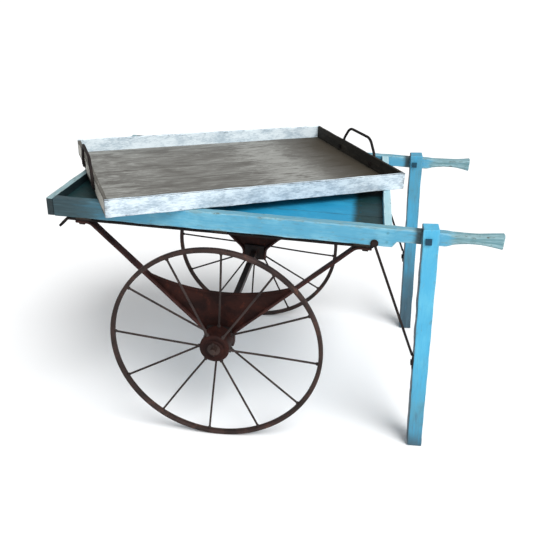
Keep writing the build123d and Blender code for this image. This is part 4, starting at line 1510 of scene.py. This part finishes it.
@dataclass
class Studio:
    """Pale floor, soft light and the camera."""

    bench: Bench
    camera_place: tuple[float, float, float] = (0.4718, -2.1233, 1.4640)   # from the ground under the axle
    camera_yaw: float = 9.627
    camera_pitch: float = -25.397
    camera_roll: float = -2.080
    lens: float = 42.98
    sensor: float = 36.0
    floor_size: float = 400.0
    surroundings: float = 0.55
    daylight: float = 2.9
    daylight_spread: float = 34.0
    daylight_from: tuple[float, float, float] = (0.6, -0.62, 1.1)
    fill_place: tuple[float, float, float] = (2.4, -2.6, 2.0)
    fill_colour: tuple[float, float, float] = (1.0, 0.99, 0.97)
    fill_power: float = 26.0
    fill_size: float = 2.0

    def build(self) -> None:
        """Set floor, world, lights and camera."""
        self.floor()
        self.world()
        self.sun()
        self.fill()
        self.camera()
        bpy.context.scene.view_settings.view_transform = "Standard"

    def floor(self) -> None:
        """Plain pale floor at the wheels' lowest point."""
        half = self.floor_size / 2
        mesh = bpy.data.meshes.new("floor")
        mesh.from_pydata([(-half, -half, 0), (half, -half, 0), (half, half, 0), (-half, half, 0)], [],
                         [(0, 1, 2, 3)])
        piece = linked("floor", mesh)
        shader = Shader("pale_floor")
        mottle = shader.noise(shader.place(), 0.8, 2.0)
        colour = shader.mix(mottle, (0.86, 0.865, 0.87), (0.88, 0.885, 0.89))
        mesh.materials.append(shader.finished(colour, 0.85 + mottle * 0.05, mottle, 0.0001, specular=0.1))

    def world(self) -> None:
        """Even white surroundings."""
        world = bpy.data.worlds.new("surroundings")
        world.use_nodes = True
        background = world.node_tree.nodes["Background"]
        background.inputs["Color"].default_value = (1.0, 1.0, 1.0, 1.0)
        background.inputs["Strength"].default_value = self.surroundings
        bpy.context.scene.world = world

    def sun(self) -> None:
        """Broad even light from above, the right and the near side."""
        light = bpy.data.lights.new("daylight", "SUN")
        light.energy = self.daylight
        light.angle = math.radians(self.daylight_spread)
        linked("daylight", light).matrix_world = self.facing(np.zeros(3), np.array(self.daylight_from))

    def facing(self, place: Array, back: Array) -> Matrix:
        """World matrix of a light at a place, shining away from the direction back.

        Args:
            place: where the light stands.
            back: direction that it shines away from.

        Returns:
            The matrix.
        """
        back = back / np.linalg.norm(back)
        right = np.cross([0.0, 0.0, 1.0], back)
        right = right / np.linalg.norm(right)
        turn = Matrix(np.stack([right, np.cross(back, right), back], 1).tolist()).to_4x4()
        return Matrix.Translation(place.tolist()) @ turn

    def fill(self) -> None:
        """Area light from the near side, aimed at the deck."""
        light = bpy.data.lights.new("fill", "AREA")
        light.energy, light.size, light.color = self.fill_power, self.fill_size, self.fill_colour
        base = self.bench.ground.origin * np.array([1, 1, 0])
        back = np.array(self.fill_place) - np.array([0.0, 0.0, 0.6])
        linked("fill", light).matrix_world = self.facing(base + np.array(self.fill_place), back)

    def camera(self) -> None:
        """Camera above the near side, looking down past the near wheel."""
        data = bpy.data.cameras.new("camera")
        data.lens = self.lens
        data.sensor_width = self.sensor
        data.sensor_fit = "HORIZONTAL"
        camera = linked("camera", data)
        base = self.bench.ground.origin * np.array([1, 1, 0])
        angles = (self.camera_yaw, 90 + self.camera_pitch, self.camera_roll)
        yaw, pitch, roll = (Matrix.Rotation(math.radians(v), 4, axis) for v, axis in zip(angles, "ZXZ"))
        place = Matrix.Translation((base + np.array(self.camera_place)).tolist())
        camera.matrix_world = place @ yaw @ pitch @ roll
        bpy.context.scene.camera = camera


def main() -> None:
    """Build the cart's looks around its frame, in order."""
    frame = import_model()
    bench = Bench(frame)
    for part in (Timberwork, Undercarriage, Wheels, Tray, Hardware, Studio):
        part(bench).build()
        LOG.info("%s finished", part.__name__)


if __name__ == "__main__":
    logging.basicConfig(level=logging.INFO)
    main()
